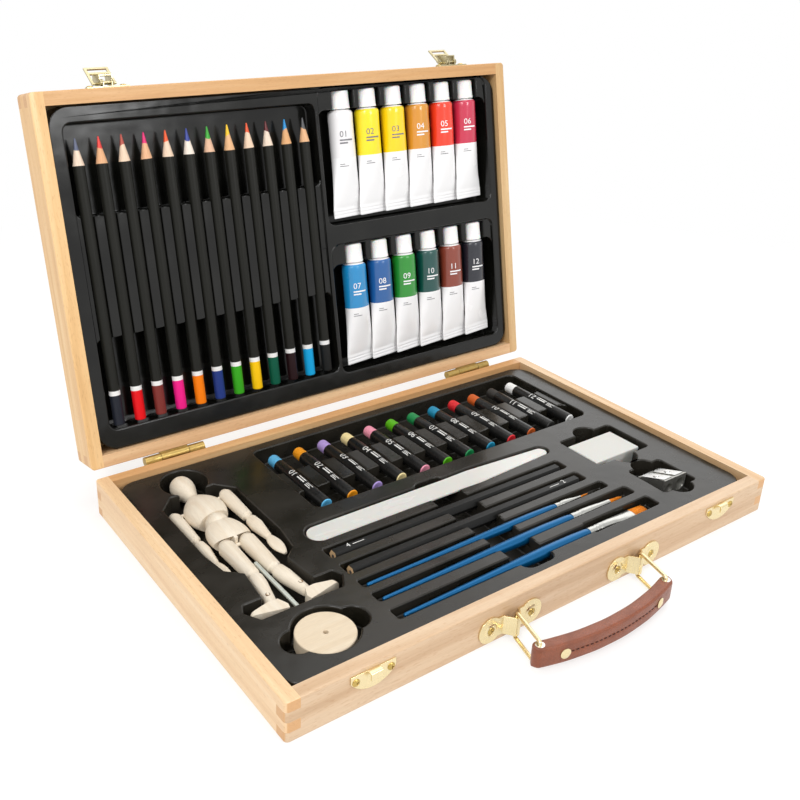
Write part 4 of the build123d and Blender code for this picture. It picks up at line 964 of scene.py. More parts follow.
def group(name: str, **inputs: str) -> tuple[Nodes, bpy.types.Node]:
    """A geometry node group that takes and gives geometry.

    Args:
        name: Its name.
        **inputs: Its other inputs, each with the kind of its socket.

    Returns:
        The group's nodes and its input node.
    """
    tree = bpy.data.node_groups.new(name, "GeometryNodeTree")
    for title, kind in {"Geometry": "Geometry", **inputs}.items():
        tree.interface.new_socket(title, in_out="INPUT", socket_type=f"NodeSocket{kind}")
    tree.interface.new_socket("Geometry", in_out="OUTPUT", socket_type="NodeSocketGeometry")
    nodes = Nodes(tree)
    return nodes, nodes.add("NodeGroupInput")


def stored_vector(nodes: Nodes, title: str) -> bpy.types.Node:
    """The node that reads a stored vector."""
    return nodes.add("GeometryNodeInputNamedAttribute", {"Name": title}, data_type="FLOAT_VECTOR")


def coated(nodes: Nodes, geometry: bpy.types.Node, finish: bpy.types.NodeSocket) -> bpy.types.NodeTree:
    """Give a group's geometry its finish and close the group.

    Args:
        nodes: The group's nodes.
        geometry: The node that gives the geometry.
        finish: The input that gives the finish.

    Returns:
        The node group.
    """
    done = nodes.add("GeometryNodeSetMaterial", {"Geometry": geometry, "Material": finish})
    nodes.add("NodeGroupOutput", {"Geometry": done})
    return nodes.tree


def grown(made: bpy.types.Object, tree: bpy.types.NodeTree, **given: Any) -> bpy.types.Object:
    """Run a node tree on an object and leave the plain mesh that it gives.

    Args:
        made: The object that carries the tree's input.
        tree: The geometry node tree.
        **given: The tree's inputs by name.

    Returns:
        The same object with the finished mesh and no modifier.
    """
    runner = made.modifiers.new("repeat", "NODES")
    runner.node_group = tree
    for item in tree.interface.items_tree:
        if item.in_out == "INPUT" and item.name in given:
            runner[item.identifier] = given[item.name]
    seen = made.evaluated_get(bpy.context.evaluated_depsgraph_get())
    result = bpy.data.meshes.new_from_object(seen)
    result.name = made.name
    made.modifiers.remove(runner)
    made.data = result
    result.shade_smooth()
    result.set_sharp_from_angle(angle=math.radians(35))
    return made


@dataclass
class Repeat:
    """Copies of one small shape over a list of places, by a node tree with a size, a shape and a finish."""

    name: str
    shape: bpy.types.Object
    finish: Finish
    size: float = 1.0

    def tree(self) -> bpy.types.NodeTree:
        """The tree: instance the shape on every point, turned as stored, then make it real.

        Returns:
            The node group.
        """
        nodes, given = group(f"{self.name}_repeat", Shape="Object", Size="Float", Finish="Material")
        shape = nodes.add("GeometryNodeObjectInfo", {"Object": given.outputs["Shape"]})
        inputs = {
            "Points": given.outputs["Geometry"],
            "Instance": shape.outputs["Geometry"],
            "Rotation": nodes.add("FunctionNodeEulerToRotation", {0: stored_vector(nodes, "turn")}),
            "Scale": given.outputs["Size"],
        }
        copies = nodes.add("GeometryNodeInstanceOnPoints", inputs)
        real = nodes.add("GeometryNodeRealizeInstances", {"Geometry": copies})
        return coated(nodes, real, given.outputs["Finish"])

    def over(self, places: Sequence[Matrix]) -> bpy.types.Object:
        """Copy the shape to every place and give the one mesh that results.

        Args:
            places: Places in millimetres.

        Returns:
            The object, at the origin, with a plain mesh.
        """
        spots, turned_by = [p.to_translation() * MM for p in places], [p.to_euler() for p in places]
        made = scattered(self.name, spots, "turn", turned_by)
        result = grown(made, self.tree(), Shape=self.shape, Size=self.size, Finish=self.finish.material())
        bpy.data.objects.remove(self.shape)
        return result


# The case


@dataclass
class Case:
    """The two halves: finger-jointed walls, thin panels and one formed tray each."""

    lip_mm: float = 1.1
    lip_parts: int = 3
    lip_angle: float = math.radians(40)
    # A lip lies between a level face and an upright one, by how much each faces up
    level: float = 0.7
    upright: float = 0.4
    # A rounded point farther than this share of the lip's width from the sheet is a stray one
    stray: float = 0.6
    board_shift: float = 37.0
    lid_shift: float = 90.0

    def build(self) -> None:
        """Dress the walls and panels and form the trays."""
        across = {"base": Grain.WIDTH, "lid": Grain.LID_WIDTH}
        deep = {"base": Grain.DEPTH, "lid": Grain.LID_DEPTH}
        for half, lid in (("base", 0), ("lid", 1)):
            for number, side in enumerate(("front", "back", "left", "right")):
                # Each wall's tone holds painted light as well as the wood's own colour
                dark, colour, pale = BOARDS[f"{half}_{side}"]
                grain = (across if side in ("front", "back") else deep)[half]
                shift = self.board_shift * number + self.lid_shift * lid
                name = f"beech_planed_{half}_{side}"
                board = PlanedWood(name, colour, dark=dark, pale=pale, grain=grain, shift=shift)
                dress(f"{half}_{side}_wall", board)
            dress(f"{half}_panel", PLYWOOD)
        self.tray("base_tray", Body.BASE, Vector((0, 0, 1)), BASE_STYRENE)
        self.tray("lid_tray", Body.LID, (lid_plan().to_3x3() @ Vector((0, 0, 1))).normalized(), LID_STYRENE)

    def tray(self, node: str, body: Body, up: Vector, finish: Finish) -> None:
        """A tray with the rounded lips that forming over a mould gives.

        Args:
            node: The CAD tray.
            body: The body it rides on.
            up: The way its open side faces.
            finish: The finish of the sheet.
        """
        form = joined(node)
        lips = []
        for edge in form.edges:
            if len(edge.link_faces) != 2 or edge.calc_face_angle(0.0) < self.lip_angle:
                continue
            rises = sorted(face.normal.dot(up) for face in edge.link_faces)
            if rises[1] > self.level and abs(rises[0]) < self.upright:
                lips.append(edge)
        flat = BVHTree.FromBMesh(form)
        ease(form, lips, self.lip_mm, self.lip_parts, clamp=False)
        # Roundings that overlap throw out spikes, and these are pulled back onto the sheet
        for point in form.verts:
            spot, _, _, away = flat.find_nearest(point.co)
            if away > self.lip_mm * MM * self.stray:
                point.co = spot
        ride(plain(form, f"{node}_formed", finish, 60.0), body, node)


# Hinges, catches and latches

LEAF_SHEET = 1.0
LATCH_SHEET = 0.8


@dataclass
class Hardware:
    """Pressed and plated hinges, catches and latches, with the screws that hold them."""

    edge_mm: float = 0.16
    head_radius: float = 2.1
    head_height: float = 0.8
    head_sides: int = 24
    slot_half: float = 1.25
    slot_width: float = 0.42
    slot_deep: float = 0.55
    hinge_x: float = 123.8
    hinge_spread: float = 12.5
    hinge_drop: float = 9.0
    latch_x: float = 130.5
    moon_spread: float = 10.1
    moon_drop: float = 6.2
    pieces: tuple[tuple[str, str, Finish], ...] = (
        ("hinge_base_leaf", "base", HINGE_BRASS),
        ("hinge_lid_leaf", "lid", HINGE_BRASS),
        ("catch_plate", "base", PALE_BRASS),
        ("latch_plate", "lid", LATCH_BRASS),
        ("latch_lever", "", LATCH_BRASS),
        ("latch_loop", "", LATCH_BRASS),
    )

    def build(self) -> None:
        """Soften each stamped piece and set its screws. A piece without an owner is a body of its own."""
        for stem, owner, metal in self.pieces:
            for side in SIDES:
                node = f"{stem}_{side}"
                soften(node, metal, self.edge_mm, Body(owner or node))
        dress("hinge_pins", HINGE_BRASS)
        dress("latch_pivots", LATCH_BRASS)
        self.screws()

    def screw(self) -> bpy.types.Object:
        """One domed screw head with a cross recess, pointing up from height 0.

        Returns:
            The head, in metres.
        """
        r, h = self.head_radius, self.head_height
        form = bmesh.new()
        profile = [(r, -1.0), (r, 0.0), (r, h * 0.3), (r * 0.86, h * 0.62)]
        profile += [(r * 0.66, h * 0.86), (r * 0.6, h * 0.92)]
        rings = []
        for wide, height in profile:
            ring = [(wide * math.cos(t), wide * math.sin(t), height) for t in turns(self.head_sides)]
            rings.append([form.verts.new(point) for point in ring])
        arm, half = self.slot_half, self.slot_width / 2
        cross = [(arm, -half), (arm, half), (half, half), (half, arm), (-half, arm), (-half, half)]
        cross += [(-x, -y) for x, y in cross]
        rim = [form.verts.new((x, y, h)) for x, y in cross]
        floor = [form.verts.new((x * 0.8, y * 0.8, h - self.slot_deep)) for x, y in cross]
        for low, high in zip(rings, rings[1:]):
            for (a, b), (c, d) in zip(pairs(low), pairs(high)):
                form.faces.new((a, b, d, c))
        form.faces.new(rings[0][::-1])
        for (a, b), (c, d) in zip(pairs(rim), pairs(floor)):
            form.faces.new((a, c, d, b))
        form.faces.new(floor)
        edges = [form.edges.get(pair) for loop in (rings[-1], rim) for pair in pairs(loop)]
        bmesh.ops.triangle_fill(form, use_beauty=True, edges=edges, normal=(0, 0, 1))
        bmesh.ops.recalc_face_normals(form, faces=form.faces)
        bmesh.ops.scale(form, vec=(MM, MM, MM), verts=form.verts)
        mesh = bpy.data.meshes.new("screw_head")
        form.to_mesh(mesh)
        form.free()
        return placed(mesh, "screw_head", 40.0)

    def screws(self) -> None:
        """Set the screws of the base and of the lid, each turned a little differently."""
        chance = random.Random(7)

        def spin() -> Matrix:
            """A chance turn about the screw's own axis."""
            return turned(chance.uniform(0, math.pi), "Z")

        front, back, wall = turned(QUARTER, "X"), turned(-QUARTER, "X"), CASE_DEPTH / 2
        base, lid = [], []
        for side in WAYS:
            for step in WAYS:
                x, pin = side * self.hinge_x + step * self.hinge_spread, HINGE_PIN.z
                base.append(at(x, wall + LEAF_SHEET, pin - self.hinge_drop) @ back @ spin())
                lid.append(opened() @ at(x, wall + LEAF_SHEET, pin + self.hinge_drop) @ back @ spin())
                x = side * self.latch_x + step * self.moon_spread
                base.append(at(x, -wall - LATCH_SHEET, SEAM_Z - self.moon_drop) @ front @ spin())
                lid.append(opened() @ at(x, -wall - LATCH_SHEET, SEAM_Z + self.moon_drop) @ front @ spin())
                base.append(Handle.hole(side, step) @ front @ spin())
        for places, node, body in ((base, "base_screws", Body.BASE), (lid, "lid_screws", Body.LID)):
            made = Repeat(f"{node}_crosshead", self.screw(), BRASS_SCREW).over(places)
            ride(made, body, node)


# The carry handle


@dataclass
class Handle:
    """A leather grip folded round two tubes, hung by wire rings from two pressed brackets."""

    centre_x: float = 5.2
    spacing: float = 95.6
    lobe_x: float = 14.2
    height_z: float = 9.2
    sheet: float = 1.0
    edge_mm: float = 0.16
    # The rims round the screw holes: inner radius, crown, outer radius and height
    rim: tuple[float, float, float, float] = (2.35, 3.1, 4.3, 0.6)

    @classmethod
    def hole(cls, side: int, step: int) -> Matrix:
        """The place of one screw hole on the face of a bracket."""
        x = cls.centre_x + side * cls.spacing / 2 + step * cls.lobe_x
        return at(x, -CASE_DEPTH / 2 - cls.sheet, cls.height_z)

    def build(self) -> None:
        """Dress the brackets, rings, tubes and rivets, and make the grip."""
        for side in SIDES:
            soften(f"handle_bracket_{side}", PALE_BRASS, self.edge_mm, Body.BASE)
            dress(f"handle_ring_{side}", PALE_BRASS)
        dress("grip_tubes", NICKEL)
        dress("grip_rivets", PALE_BRASS)
        self.dimples()
        GripLeather().build()

    def dimples(self) -> None:
        """The rims that the press raises round the screw holes of the brackets."""
        shell = Shell("handle_bracket_rims", (PALE_BRASS,))
        inner, crown, outer, high = self.rim
        outline = [(inner, -0.1), (inner, 0.12), (inner + 0.2, high * 0.8), (crown, high)]
        outline += [(crown + 0.3, high * 0.8), (outer, 0.02), (outer, -0.1)]
        for side in WAYS:
            for step in WAYS:
                place = self.hole(side, step) @ turned(math.pi, "Z")
                rings = [shell.ring(oval(radius, along, radius, 40), place) for radius, along in outline]
                shell.skin(rings + rings[:1], PALE_BRASS.colour, caps=False)
        ride(shell.made(50.0), Body.BASE)


@dataclass
class GripLeather:
    """The grip's leather: a bowed band with a sewn seam sunk in both faces and ends wrapped on the tubes."""

    half_span: float = 47.8
    rise: float = 7.0
    middle: Pair = (-0.882, -139.449)
    half_thick: float = 3.78
    half_tall: float = 6.08
    edge: float = 1.5
    sink: float = 0.42
    seam_half: float = 0.8
    stitch_long: float = 1.9
    stitch_gap: float = 2.9
    seam_stop: float = 17.5
    seam_fade: float = 3.0
    # How far the faces wave, and the turn of the waves in each millimetre
    waver: Pair = (0.05, 0.31)
    steps: int = 56
    end_steps: int = 6
    edge_steps: int = 5

    def radius(self) -> float:
        """The bow's radius."""
        return (self.half_span**2 + self.rise**2) / (2 * self.rise)

    def reach(self) -> float:
        """Half the length of the bow between the tubes."""
        return self.radius() * math.asin(self.half_span / self.radius())

    def place(self, along: float) -> Matrix:
        """The frame at a distance along the bow: X along it, Y out from the case, Z up.

        Args:
            along: The distance from the middle, in millimetres.

        Returns:
            The frame's place.
        """
        angle = along / self.radius()
        centre = Vector((self.middle[0], self.middle[1] - self.rise + self.radius(), Handle.height_z))
        out = Vector((math.sin(angle), -math.cos(angle), 0))
        run = Vector((math.cos(angle), math.sin(angle), 0))
        turn = Matrix((run, out, run.cross(out))).transposed().to_4x4()
        return Matrix.Translation(centre + out * self.radius()) @ turn

    def section(self, thick: float, sunk: float) -> list[Vector]:
        """One closed section, out along Y: rounded edges and a sunk seam on both faces.

        Args:
            thick: Half its thickness.
            sunk: How deep the seam lies.

        Returns:
            The section's points.
        """
        tall, edge, seam = self.half_tall, min(self.edge, thick * 0.9), self.seam_half
        above = [seam * 0.5, seam, seam * 1.5, 2.6, tall - edge]
        levels = [-v for v in above[::-1]] + [0] + above
        side = [(thick - sunk * math.exp(-((v / seam) ** 2)), v) for v in levels]
        for k in range(1, self.edge_steps):
            t = k / self.edge_steps * QUARTER
            side.append((thick - edge + edge * math.cos(t), tall - edge + edge * math.sin(t)))
        side.append((thick - edge, tall))
        half = [(u, -v) for u, v in side[: len(levels) - 1 : -1]] + side
        return [Vector((0, u, v)) for u, v in half + [(-u, v) for u, v in half[::-1]]]

    def build(self) -> None:
        """Make the leather, then sew it."""
        shell = Shell("grip_leather_sewn", (LEATHER,))
        reach, half = self.reach(), self.half_thick
        # The ends stop just short of a quarter turn, so that their last section keeps a width
        bends = [k / self.end_steps * QUARTER * 0.98 for k in range(1, self.end_steps + 1)]
        ends = [(half * math.sin(t), half * math.cos(t)) for t in bends]
        stations = [(-reach - over, thick, 0.0) for over, thick in ends[::-1]]
        for k in range(self.steps + 1):
            along = -reach + 2 * reach * k / self.steps
            inside = (reach - self.seam_stop + self.seam_fade - abs(along)) / self.seam_fade
            wave = self.waver[0] * math.sin(along * self.waver[1])
            stations.append((along, half - 0.08 + wave, self.sink * min(1.0, max(0.0, inside))))
        stations += [(reach + over, thick, 0.0) for over, thick in ends]
        rings = []
        for along, thick, sunk in stations:
            bow = max(-reach, min(reach, along))
            rings.append(shell.ring(self.section(thick, sunk), self.place(bow) @ at(along - bow, 0, 0)))
        shell.skin(rings, LEATHER.colour)
        ride(shell.made(40.0), Body.GRIP, "handle_grip")
        self.sew()

    def sew(self) -> None:
        """Lay the stitches in the sunk seam on both faces."""
        stop = self.reach() - self.seam_stop
        count = int(2 * stop / self.stitch_gap)
        deep = self.half_thick - self.sink + 0.1
        spots = [-stop + 2 * stop * k / count for k in range(count + 1)]
        places = [self.place(along) @ at(0, face * deep, 0) for along in spots for face in WAYS]
        stitches = Repeat("grip_stitches", self.stitch(), SEAM_THREAD).over(places)
        ride(stitches, Body.GRIP)

    def stitch(self) -> bpy.types.Object:
        """One stitch along X: a short thread that dips into the leather at both ends.

        Returns:
            The stitch.
        """
        shell = Shell("stitch", (SEAM_THREAD,))
        half = self.stitch_long / 2
        rise = [(0, -half), (0.12, -half), (0.26, -half * 0.6)]
        outline = rise + [(0.28, 0)] + [(radius, -along) for radius, along in rise[::-1]]
        shell.lathe(outline, turned(-QUARTER, "Z"), SEAM_THREAD.colour, 8)
        return shell.made()


# The colours in the lid


@dataclass
class ColouredPencils:
    """Twelve round pencils in black lacquer, each with a dipped end, a white band and its own lead."""

    first_x: float = -154.0
    pitch: float = 14.1
    radius: float = 3.5
    length: float = 175.0
    end_b: float = 22.8
    drop: float = 7.0
    cone: float = 16.0
    lead_radius: float = 1.5
    tip_radius: float = 0.35
    tip: float = 0.4
    lip: float = 0.3
    sides: int = 32
    band: Pair = (19.3, 22.2)
    skews: Pair = (0.15, 1.3)
    black: str = "#1D1D19"
    white: str = "#EDECEA"
    # Dipped end, lead and cut wood of each pencil
    tones: tuple[tuple[str, str, str], ...] = (
        ("#22252E", "#5C627A", "#EBD3BD"),
        ("#E4121B", "#E03A34", "#E0AB7F"),
        ("#7C332E", "#B24A3B", "#E9CDB2"),
        ("#EC1E86", "#DE196E", "#E1AE85"),
        ("#F67E08", "#E8551F", "#E9CDB3"),
        ("#23397F", "#2D3D8F", "#EEE1D3"),
        ("#37A31E", "#2F9E28", "#DEB394"),
        ("#FAC70C", "#F2C212", "#E2B081"),
        ("#04553F", "#E25427", "#E9CBB0"),
        ("#241013", "#5B1015", "#EBD6C2"),
        ("#14A4DE", "#1488C9", "#DEA874"),
        ("#1B1C1C", "#4C4C4E", "#E2B083"),
    )

    def __post_init__(self) -> None:
        """Work out where the cut cone and the bare lead begin."""
        self.start = self.length - self.cone
        self.lead_at = self.length - self.cone * self.lead_radius / self.radius

    def reach(self, along: float) -> float:
        """The radius of the pencil somewhere along it.

        Args:
            along: The distance from its blunt end.

        Returns:
            The radius.
        """
        if along <= self.start:
            return self.radius
        if along <= self.lead_at:
            t = (along - self.start) / (self.lead_at - self.start)
            return self.radius + (self.lead_radius - self.radius) * t
        t = (along - self.lead_at) / (self.length - self.lead_at)
        return self.lead_radius + (self.tip_radius - self.lead_radius) * t

    def cut_ring(self, shell: Shell, place: Matrix, along: float, skew: float, phase: float) -> list[int]:
        """A ring round the sharpened end whose line leans.

        Args:
            shell: The mesh that gets it.
            place: The pencil's place.
            along: Its middle distance from the blunt end.
            skew: How far it leans.
            phase: The side to which it leans.

        Returns:
            The numbers of its points.
        """
        made = []
        for turn in turns(self.sides):
            y = along + skew * math.cos(turn - phase)
            r = self.reach(y)
            made.append(Vector((r * math.sin(turn), y, r * math.cos(turn))))
        return shell.ring(made, place)

    def build(self) -> None:
        """Make the twelve pencils and their leads."""
        chance = random.Random(3)
        bodies = Shell("coloured_pencil_bodies", (LACQUER, SHARPENED))
        points = Shell("coloured_pencil_leads", (WAX_LEAD,))
        for index, (dip, lead, wood) in enumerate(self.tones):
            x = self.first_x + index * self.pitch
            place = lid_plan() @ at(x, self.end_b - CASE_DEPTH / 2, -self.drop)
            self.body(bodies, place, dip)
            skew, phase = chance.uniform(*self.skews), chance.uniform(0, 2 * math.pi)
            self.point(bodies, points, place, (skew, phase), (wood, lead))
        ride(bodies.made(), Body.LID, "coloured_pencils")
        ride(points.made(), Body.LID, "pencil_leads")

    def body(self, shell: Shell, place: Matrix, dip: str) -> None:
        """The lacquered length of one pencil.

        Args:
            shell: The mesh that gets it.
            place: The pencil's place.
            dip: The colour of its dipped end.
        """
        r, (low, high), start = self.radius, self.band, self.start
        outline = [(0, 0), (r - 0.9, 0.0), (r - 0.35, 0.12), (r - 0.06, 0.5), (r, 1.0)]
        outline += [(r, stop) for stop in (low, high, start * 0.5, start - self.lip)]
        shell.lathe(outline, place, [dip] * 5 + [self.white] + [self.black] * 2, self.sides)

    def point(self, bodies: Shell, points: Shell, place: Matrix, lean: Pair, tints: tuple[str, str]) -> None:
        """The sharpened end of one pencil: the lacquer's ragged edge, the wood and the lead.

        Args:
            bodies: The mesh that gets the wood.
            points: The mesh that gets the lead.
            place: The pencil's place.
            lean: How far and to which side the lead's edge leans.
            tints: The colours of wood and lead.
        """
        (skew, phase), (wood, lead), start, lead_at = lean, tints, self.start, self.lead_at
        cuts = [(start - self.lip, 0.0, 0.0), (start, 0.12, phase + 2)]
        cuts += [((start + lead_at) / 2, 0.0, phase), (lead_at, skew, phase)]
        rings = [self.cut_ring(bodies, place, *cut) for cut in cuts]
        bodies.skin(rings, [self.black, wood, wood], [0, 1, 1], caps=False)
        cuts = [(lead_at, skew, phase), ((lead_at + self.length) / 2 + 0.8, 0.0, phase)]
        cuts += [(self.length - self.tip, 0.0, phase)]
        rings = [self.cut_ring(points, place, *cut) for cut in cuts]
        (tip,) = points.ring([Vector((0, self.length, 0))], place)
        points.skin(rings, lead, caps=False)
        for pair in pairs(rings[-1]):
            points.face((*pair, tip), lead)


def numeral(text: str, height: float, slice_mm: float = 0.35) -> Flat:
    """A plain number as a flat shape, cut fine enough to be wrapped round a small cylinder.

    Args:
        text: The digits.
        height: The height of a digit in millimetres.
        slice_mm: The width of the slices that the shape is cut into, both ways.

    Returns:
        Its points, from the origin to the right and up, and its faces.
    """
    curve = bpy.data.curves.new("numeral", "FONT")
    curve.body = text
    # The built-in typeface's digits are this much less than its size
    curve.size = height * 1.38
    curve.resolution_u = 3
    carrier = linked("numeral", curve)
    seen = carrier.evaluated_get(bpy.context.evaluated_depsgraph_get())
    flat = bpy.data.meshes.new_from_object(seen)
    bpy.data.objects.remove(carrier)
    form = bmesh.new()
    form.from_mesh(flat)
    for axis, normal in enumerate((Vector((1, 0, 0)), Vector((0, 1, 0)))):
        values = [v.co[axis] for v in form.verts]
        cut = min(values) + slice_mm
        while cut < max(values):
            parts = form.verts[:] + form.edges[:] + form.faces[:]
            bmesh.ops.bisect_plane(form, geom=parts, plane_co=normal * cut, plane_no=normal)
            cut += slice_mm
    form.verts.index_update()
    points = [v.co.copy() for v in form.verts]
    faces = [tuple(v.index for v in f.verts) for f in form.faces]
    form.free()
    bpy.data.meshes.remove(flat)
    return points, faces


def bar(width: float, height: float, slices: int) -> Flat:
    """A plain printed bar, from the origin to the right and up, in vertical slices."""
    points = [Vector((width * i / slices, y, 0)) for i in range(slices + 1) for y in (0, height)]
    return points, [(2 * i, 2 * i + 2, 2 * i + 3, 2 * i + 1) for i in range(slices)]


# How far printed ink stands off the surface below it
INK_LIFT = 0.04


@dataclass
class PaintTubes:
    """Twelve collapsible tubes in two rows, crimped at the foot, printed with a band of their colour."""

    first_x: float = 33.5
    pitch: float = 22.3
    tops: Pair = (214.0, 108.5)
    in_row: int = 6
    length: float = 86.5
    radius: float = 8.75
    sides: int = 56
    crimp: float = 6.5
    folds: Pair = (2.1, 4.2)
    shoulder_y: float = 70.7
    neck_y: float = 72.9
    axis_drop: float = 10.25
    roll: float = math.radians(10)
    ring_gap: float = 2.6
    band: Pair = (41.0, 72.5)
    cap_length: float = 13.0
    cap_radius: float = 7.3
    cap_top: float = 6.7
    flutes: int = 36
    flute_deep: float = 0.16
    # Dents: how fast they change round and along the tube, their height, middle and share
    dent_rate: Pair = (0.11, 0.07)
    dent_high: float = 0.34
    dent_middle: float = 0.12
    dent_share: float = 0.12
    print_x: float = -7.6
    print_lift: float = 0.06
    number_y: float = 55.0
    number_high: float = 4.2
    grey_numbers: int = 3
    white: str = "#F8F7F7"
    grey: str = "#77757A"
    # Printed bars: height above the foot, length, thickness and slices, the last two in grey
    bars: tuple[tuple[float, float, float, int], ...] = (
        (52.4, 9.4, 1.0, 16),
        (50.4, 5.6, 1.0, 10),
        (36.5, 3.4, 0.45, 8),
        (35.1, 6.0, 0.45, 10),
    )
    # Height above the foot with half the width and half the thickness there
    stations: tuple[Triple, ...] = (
        (6.5, 13.74, 0.6),
        (22.5, 11.9, 4.2),
        (40.5, 9.8, 7.44),
        (70.7, 8.75, 8.75),
    )
    colours: tuple[str, ...] = (
        "#F1EFEF", "#FCE21B", "#FDD60F", "#D8922D", "#F23B1D", "#C9304F",
        "#1C8CC8", "#1D5C9E", "#239029", "#0B4A45", "#8C3E2C", "#20222C",
    )

    def section(self, y: float) -> Pair:
        """The size of a tube, as a smooth curve through its stations.

        Args:
            y: The height above its foot.

        Returns:
            Half the width and half the thickness.
        """
        rows = self.stations
        if y <= rows[0][0]:
            return rows[0][1:]
        k = max(i for i in range(len(rows) - 1) if rows[i][0] <= y)
        before, here = rows[max(k - 1, 0)], rows[k]
        there, after = rows[k + 1], rows[min(k + 2, len(rows) - 1)]
        span = there[0] - here[0]
        t = (y - here[0]) / span
        found = []
        for axis in (1, 2):
            first = (there[axis] - before[axis]) / (there[0] - before[0]) * span
            last = (after[axis] - here[axis]) / (after[0] - here[0]) * span
            value = (2 * t**3 - 3 * t**2 + 1) * here[axis] + (t**3 - 2 * t**2 + t) * first
            value += (-2 * t**3 + 3 * t**2) * there[axis] + (t**3 - t**2) * last
            found.append(value)
        return found[0], min(found[1], self.radius)

    def places(self) -> Iterator[tuple[int, Matrix]]:
        """Go through the tubes.

        Yields:
            Each tube's number and the place of its foot.
        """
        for row, top in enumerate(self.tops):
            for step in range(self.in_row):
                x = self.first_x + step * self.pitch
                spot = at(x, top - self.length - CASE_DEPTH / 2, -self.axis_drop)
                yield row * self.in_row + step, lid_plan() @ spot @ turned(self.roll, "Y")

    def rounded(self, y: float, wide: float, thick: float, square: float, seed: float) -> list[Vector]:
        """One section of a tube, with small dents where fingers have pressed.

        Args:
            y: The height above its foot.
            wide: Half the width.
            thick: Half the thickness.
            square: 2 for an oval, more for a shape nearer to a rectangle.
            seed: What makes this tube's dents its own.

        Returns:
            The section's points.
        """
        made = []
        across, along = self.dent_rate
        for turn in turns(self.sides):
            c, s = math.cos(turn), math.sin(turn)
            x = wide * math.copysign(abs(s) ** (2 / square), s)
            z = thick * math.copysign(abs(c) ** (2 / square), c)
            if self.crimp + 4 < y < self.shoulder_y - 4:
                spot = Vector((x * across + seed, y * along, z * across))
                z *= 1 + (noise.noise(spot) * self.dent_high - self.dent_middle) * self.dent_share
            made.append(Vector((x, y, z)))
        return made

    def tube(self, shell: Shell, place: Matrix, colour: str, seed: float) -> None:
        """One tube: folded crimp, body, printed band, shoulder and neck.

        Args:
            shell: The mesh that gets it.
            place: The place of its foot.
            colour: The colour of its band.
            seed: What makes its dents its own.
        """
        wide, thick = self.stations[0][1:]
        rows = [(0.0, wide - 0.25, thick * 0.8, 10.0), (0.25, wide, thick, 10.0)]
        for fold in self.folds:
            rows += [(fold - 0.3, wide, thick, 10.0), (fold, wide, thick * 0.66, 10.0)]
            rows += [(fold + 0.3, wide, thick, 10.0)]
        rows += [(self.crimp - 0.4, wide, thick, 9.0), (self.crimp, wide, thick * 0.8, 6.0)]
        y = self.crimp + 1.2
        while y < self.shoulder_y - 1:
            blend = min(1.0, (y - self.crimp) / 9)
            rows.append((y, *self.section(y), 4.0 - 2.0 * blend))
            y += self.ring_gap
        edge = self.band[0]
        rows = [row for row in rows if abs(row[0] - edge) > 0.7]
        rows.append((edge, *self.section(edge), 2.0))
        shoulder, neck, r = self.shoulder_y, self.neck_y, self.radius
        round_rows = [(shoulder - 0.3, r), (shoulder + 0.5, r - 0.25), (neck - 0.8, 7.8), (neck, 6.2)]
        round_rows += [(neck + 0.1, 4.1), (neck + 3.0, 4.0)]
        rows = sorted(rows + [(y, half, half, 2.0) for y, half in round_rows])
        rings = [shell.ring(self.rounded(*row, seed), place) for row in rows]
        middles = [(low[0] + high[0]) / 2 for low, high in zip(rows, rows[1:])]
        shell.skin(rings, [colour if edge < middle < self.band[1] else self.white for middle in middles])

    def cap(self, shell: Shell, place: Matrix) -> None:
        """One tapered cap with a plain collar, fine flutes and a rounded top.

        Args:
            shell: The mesh that gets it.
            place: The place of its tube's foot.
        """
        foot, top, low, high = self.length - self.cap_length, self.length, self.cap_radius, self.cap_top
        rows = [(foot, low - 0.25, 0), (foot + 0.25, low, 0), (foot + 1.5, low - 0.1, 0)]
        rows += [(foot + 1.8, low - 0.22, 1), (top - 1.6, high + 0.12, 1), (top - 1.3, high + 0.1, 0)]
        rows += [(top - 0.5, high - 0.25, 0), (top, high - 1.0, 0), (top - 0.05, 1.4, 0)]
        rows += [(top - 0.25, 1.2, 0)]
        rings = []
        for y, r, fluted in rows:
            ring = []
            for i, turn in enumerate(turns(self.flutes * 3)):
                dip = self.flute_deep * fluted if i % 3 == 0 else 0.0
                ring.append(Vector(((r - dip) * math.sin(turn), y, (r - dip) * math.cos(turn))))
            rings.append(shell.ring(ring, place))
        shell.skin(rings, CAP_PLASTIC.colour)

    def wrapped(self, flat: Flat, up: float) -> Flat:
        """A printed shape bent round a tube's face, from the print's left edge.

        Args:
            flat: Its points and faces.
            up: Its height above the tube's foot.

        Returns:
            The bent points and the same faces.
        """
        points, faces = flat
        bent = []
        for point in points:
            y = up + point.y
            a, b = self.section(y)
            turn = (self.print_x + point.x) / ((a + b) / 2)
            lift = 1 + self.print_lift / b
            bent.append(Vector((a * lift * math.sin(turn), y, b * lift * math.cos(turn))))
        return bent, faces

    def build(self) -> None:
        """Make the tubes, their caps and their print."""
        tubes = Shell("paint_tube_bodies", (TUBE_SKIN,))
        caps = Shell("paint_tube_caps", (CAP_PLASTIC,))
        prints = Shell("paint_tube_print", (PRINT,))
        for number, place in self.places():
            self.tube(tubes, place, self.colours[number], 3.7 * number)
            self.cap(caps, place)
            ink = self.grey if number < self.grey_numbers else self.white
            digits = numeral(f"{number + 1:02d}", self.number_high)
            prints.patch(self.wrapped(digits, self.number_y), place, ink)
            for index, (up, *size) in enumerate(self.bars):
                prints.patch(self.wrapped(bar(*size), up), place, ink if index < 2 else self.grey)
        ride(tubes.made(), Body.LID, "paint_tubes")
        ride(caps.made(), Body.LID, "tube_caps")
        ride(prints.made(), Body.LID)


# What lies in the base


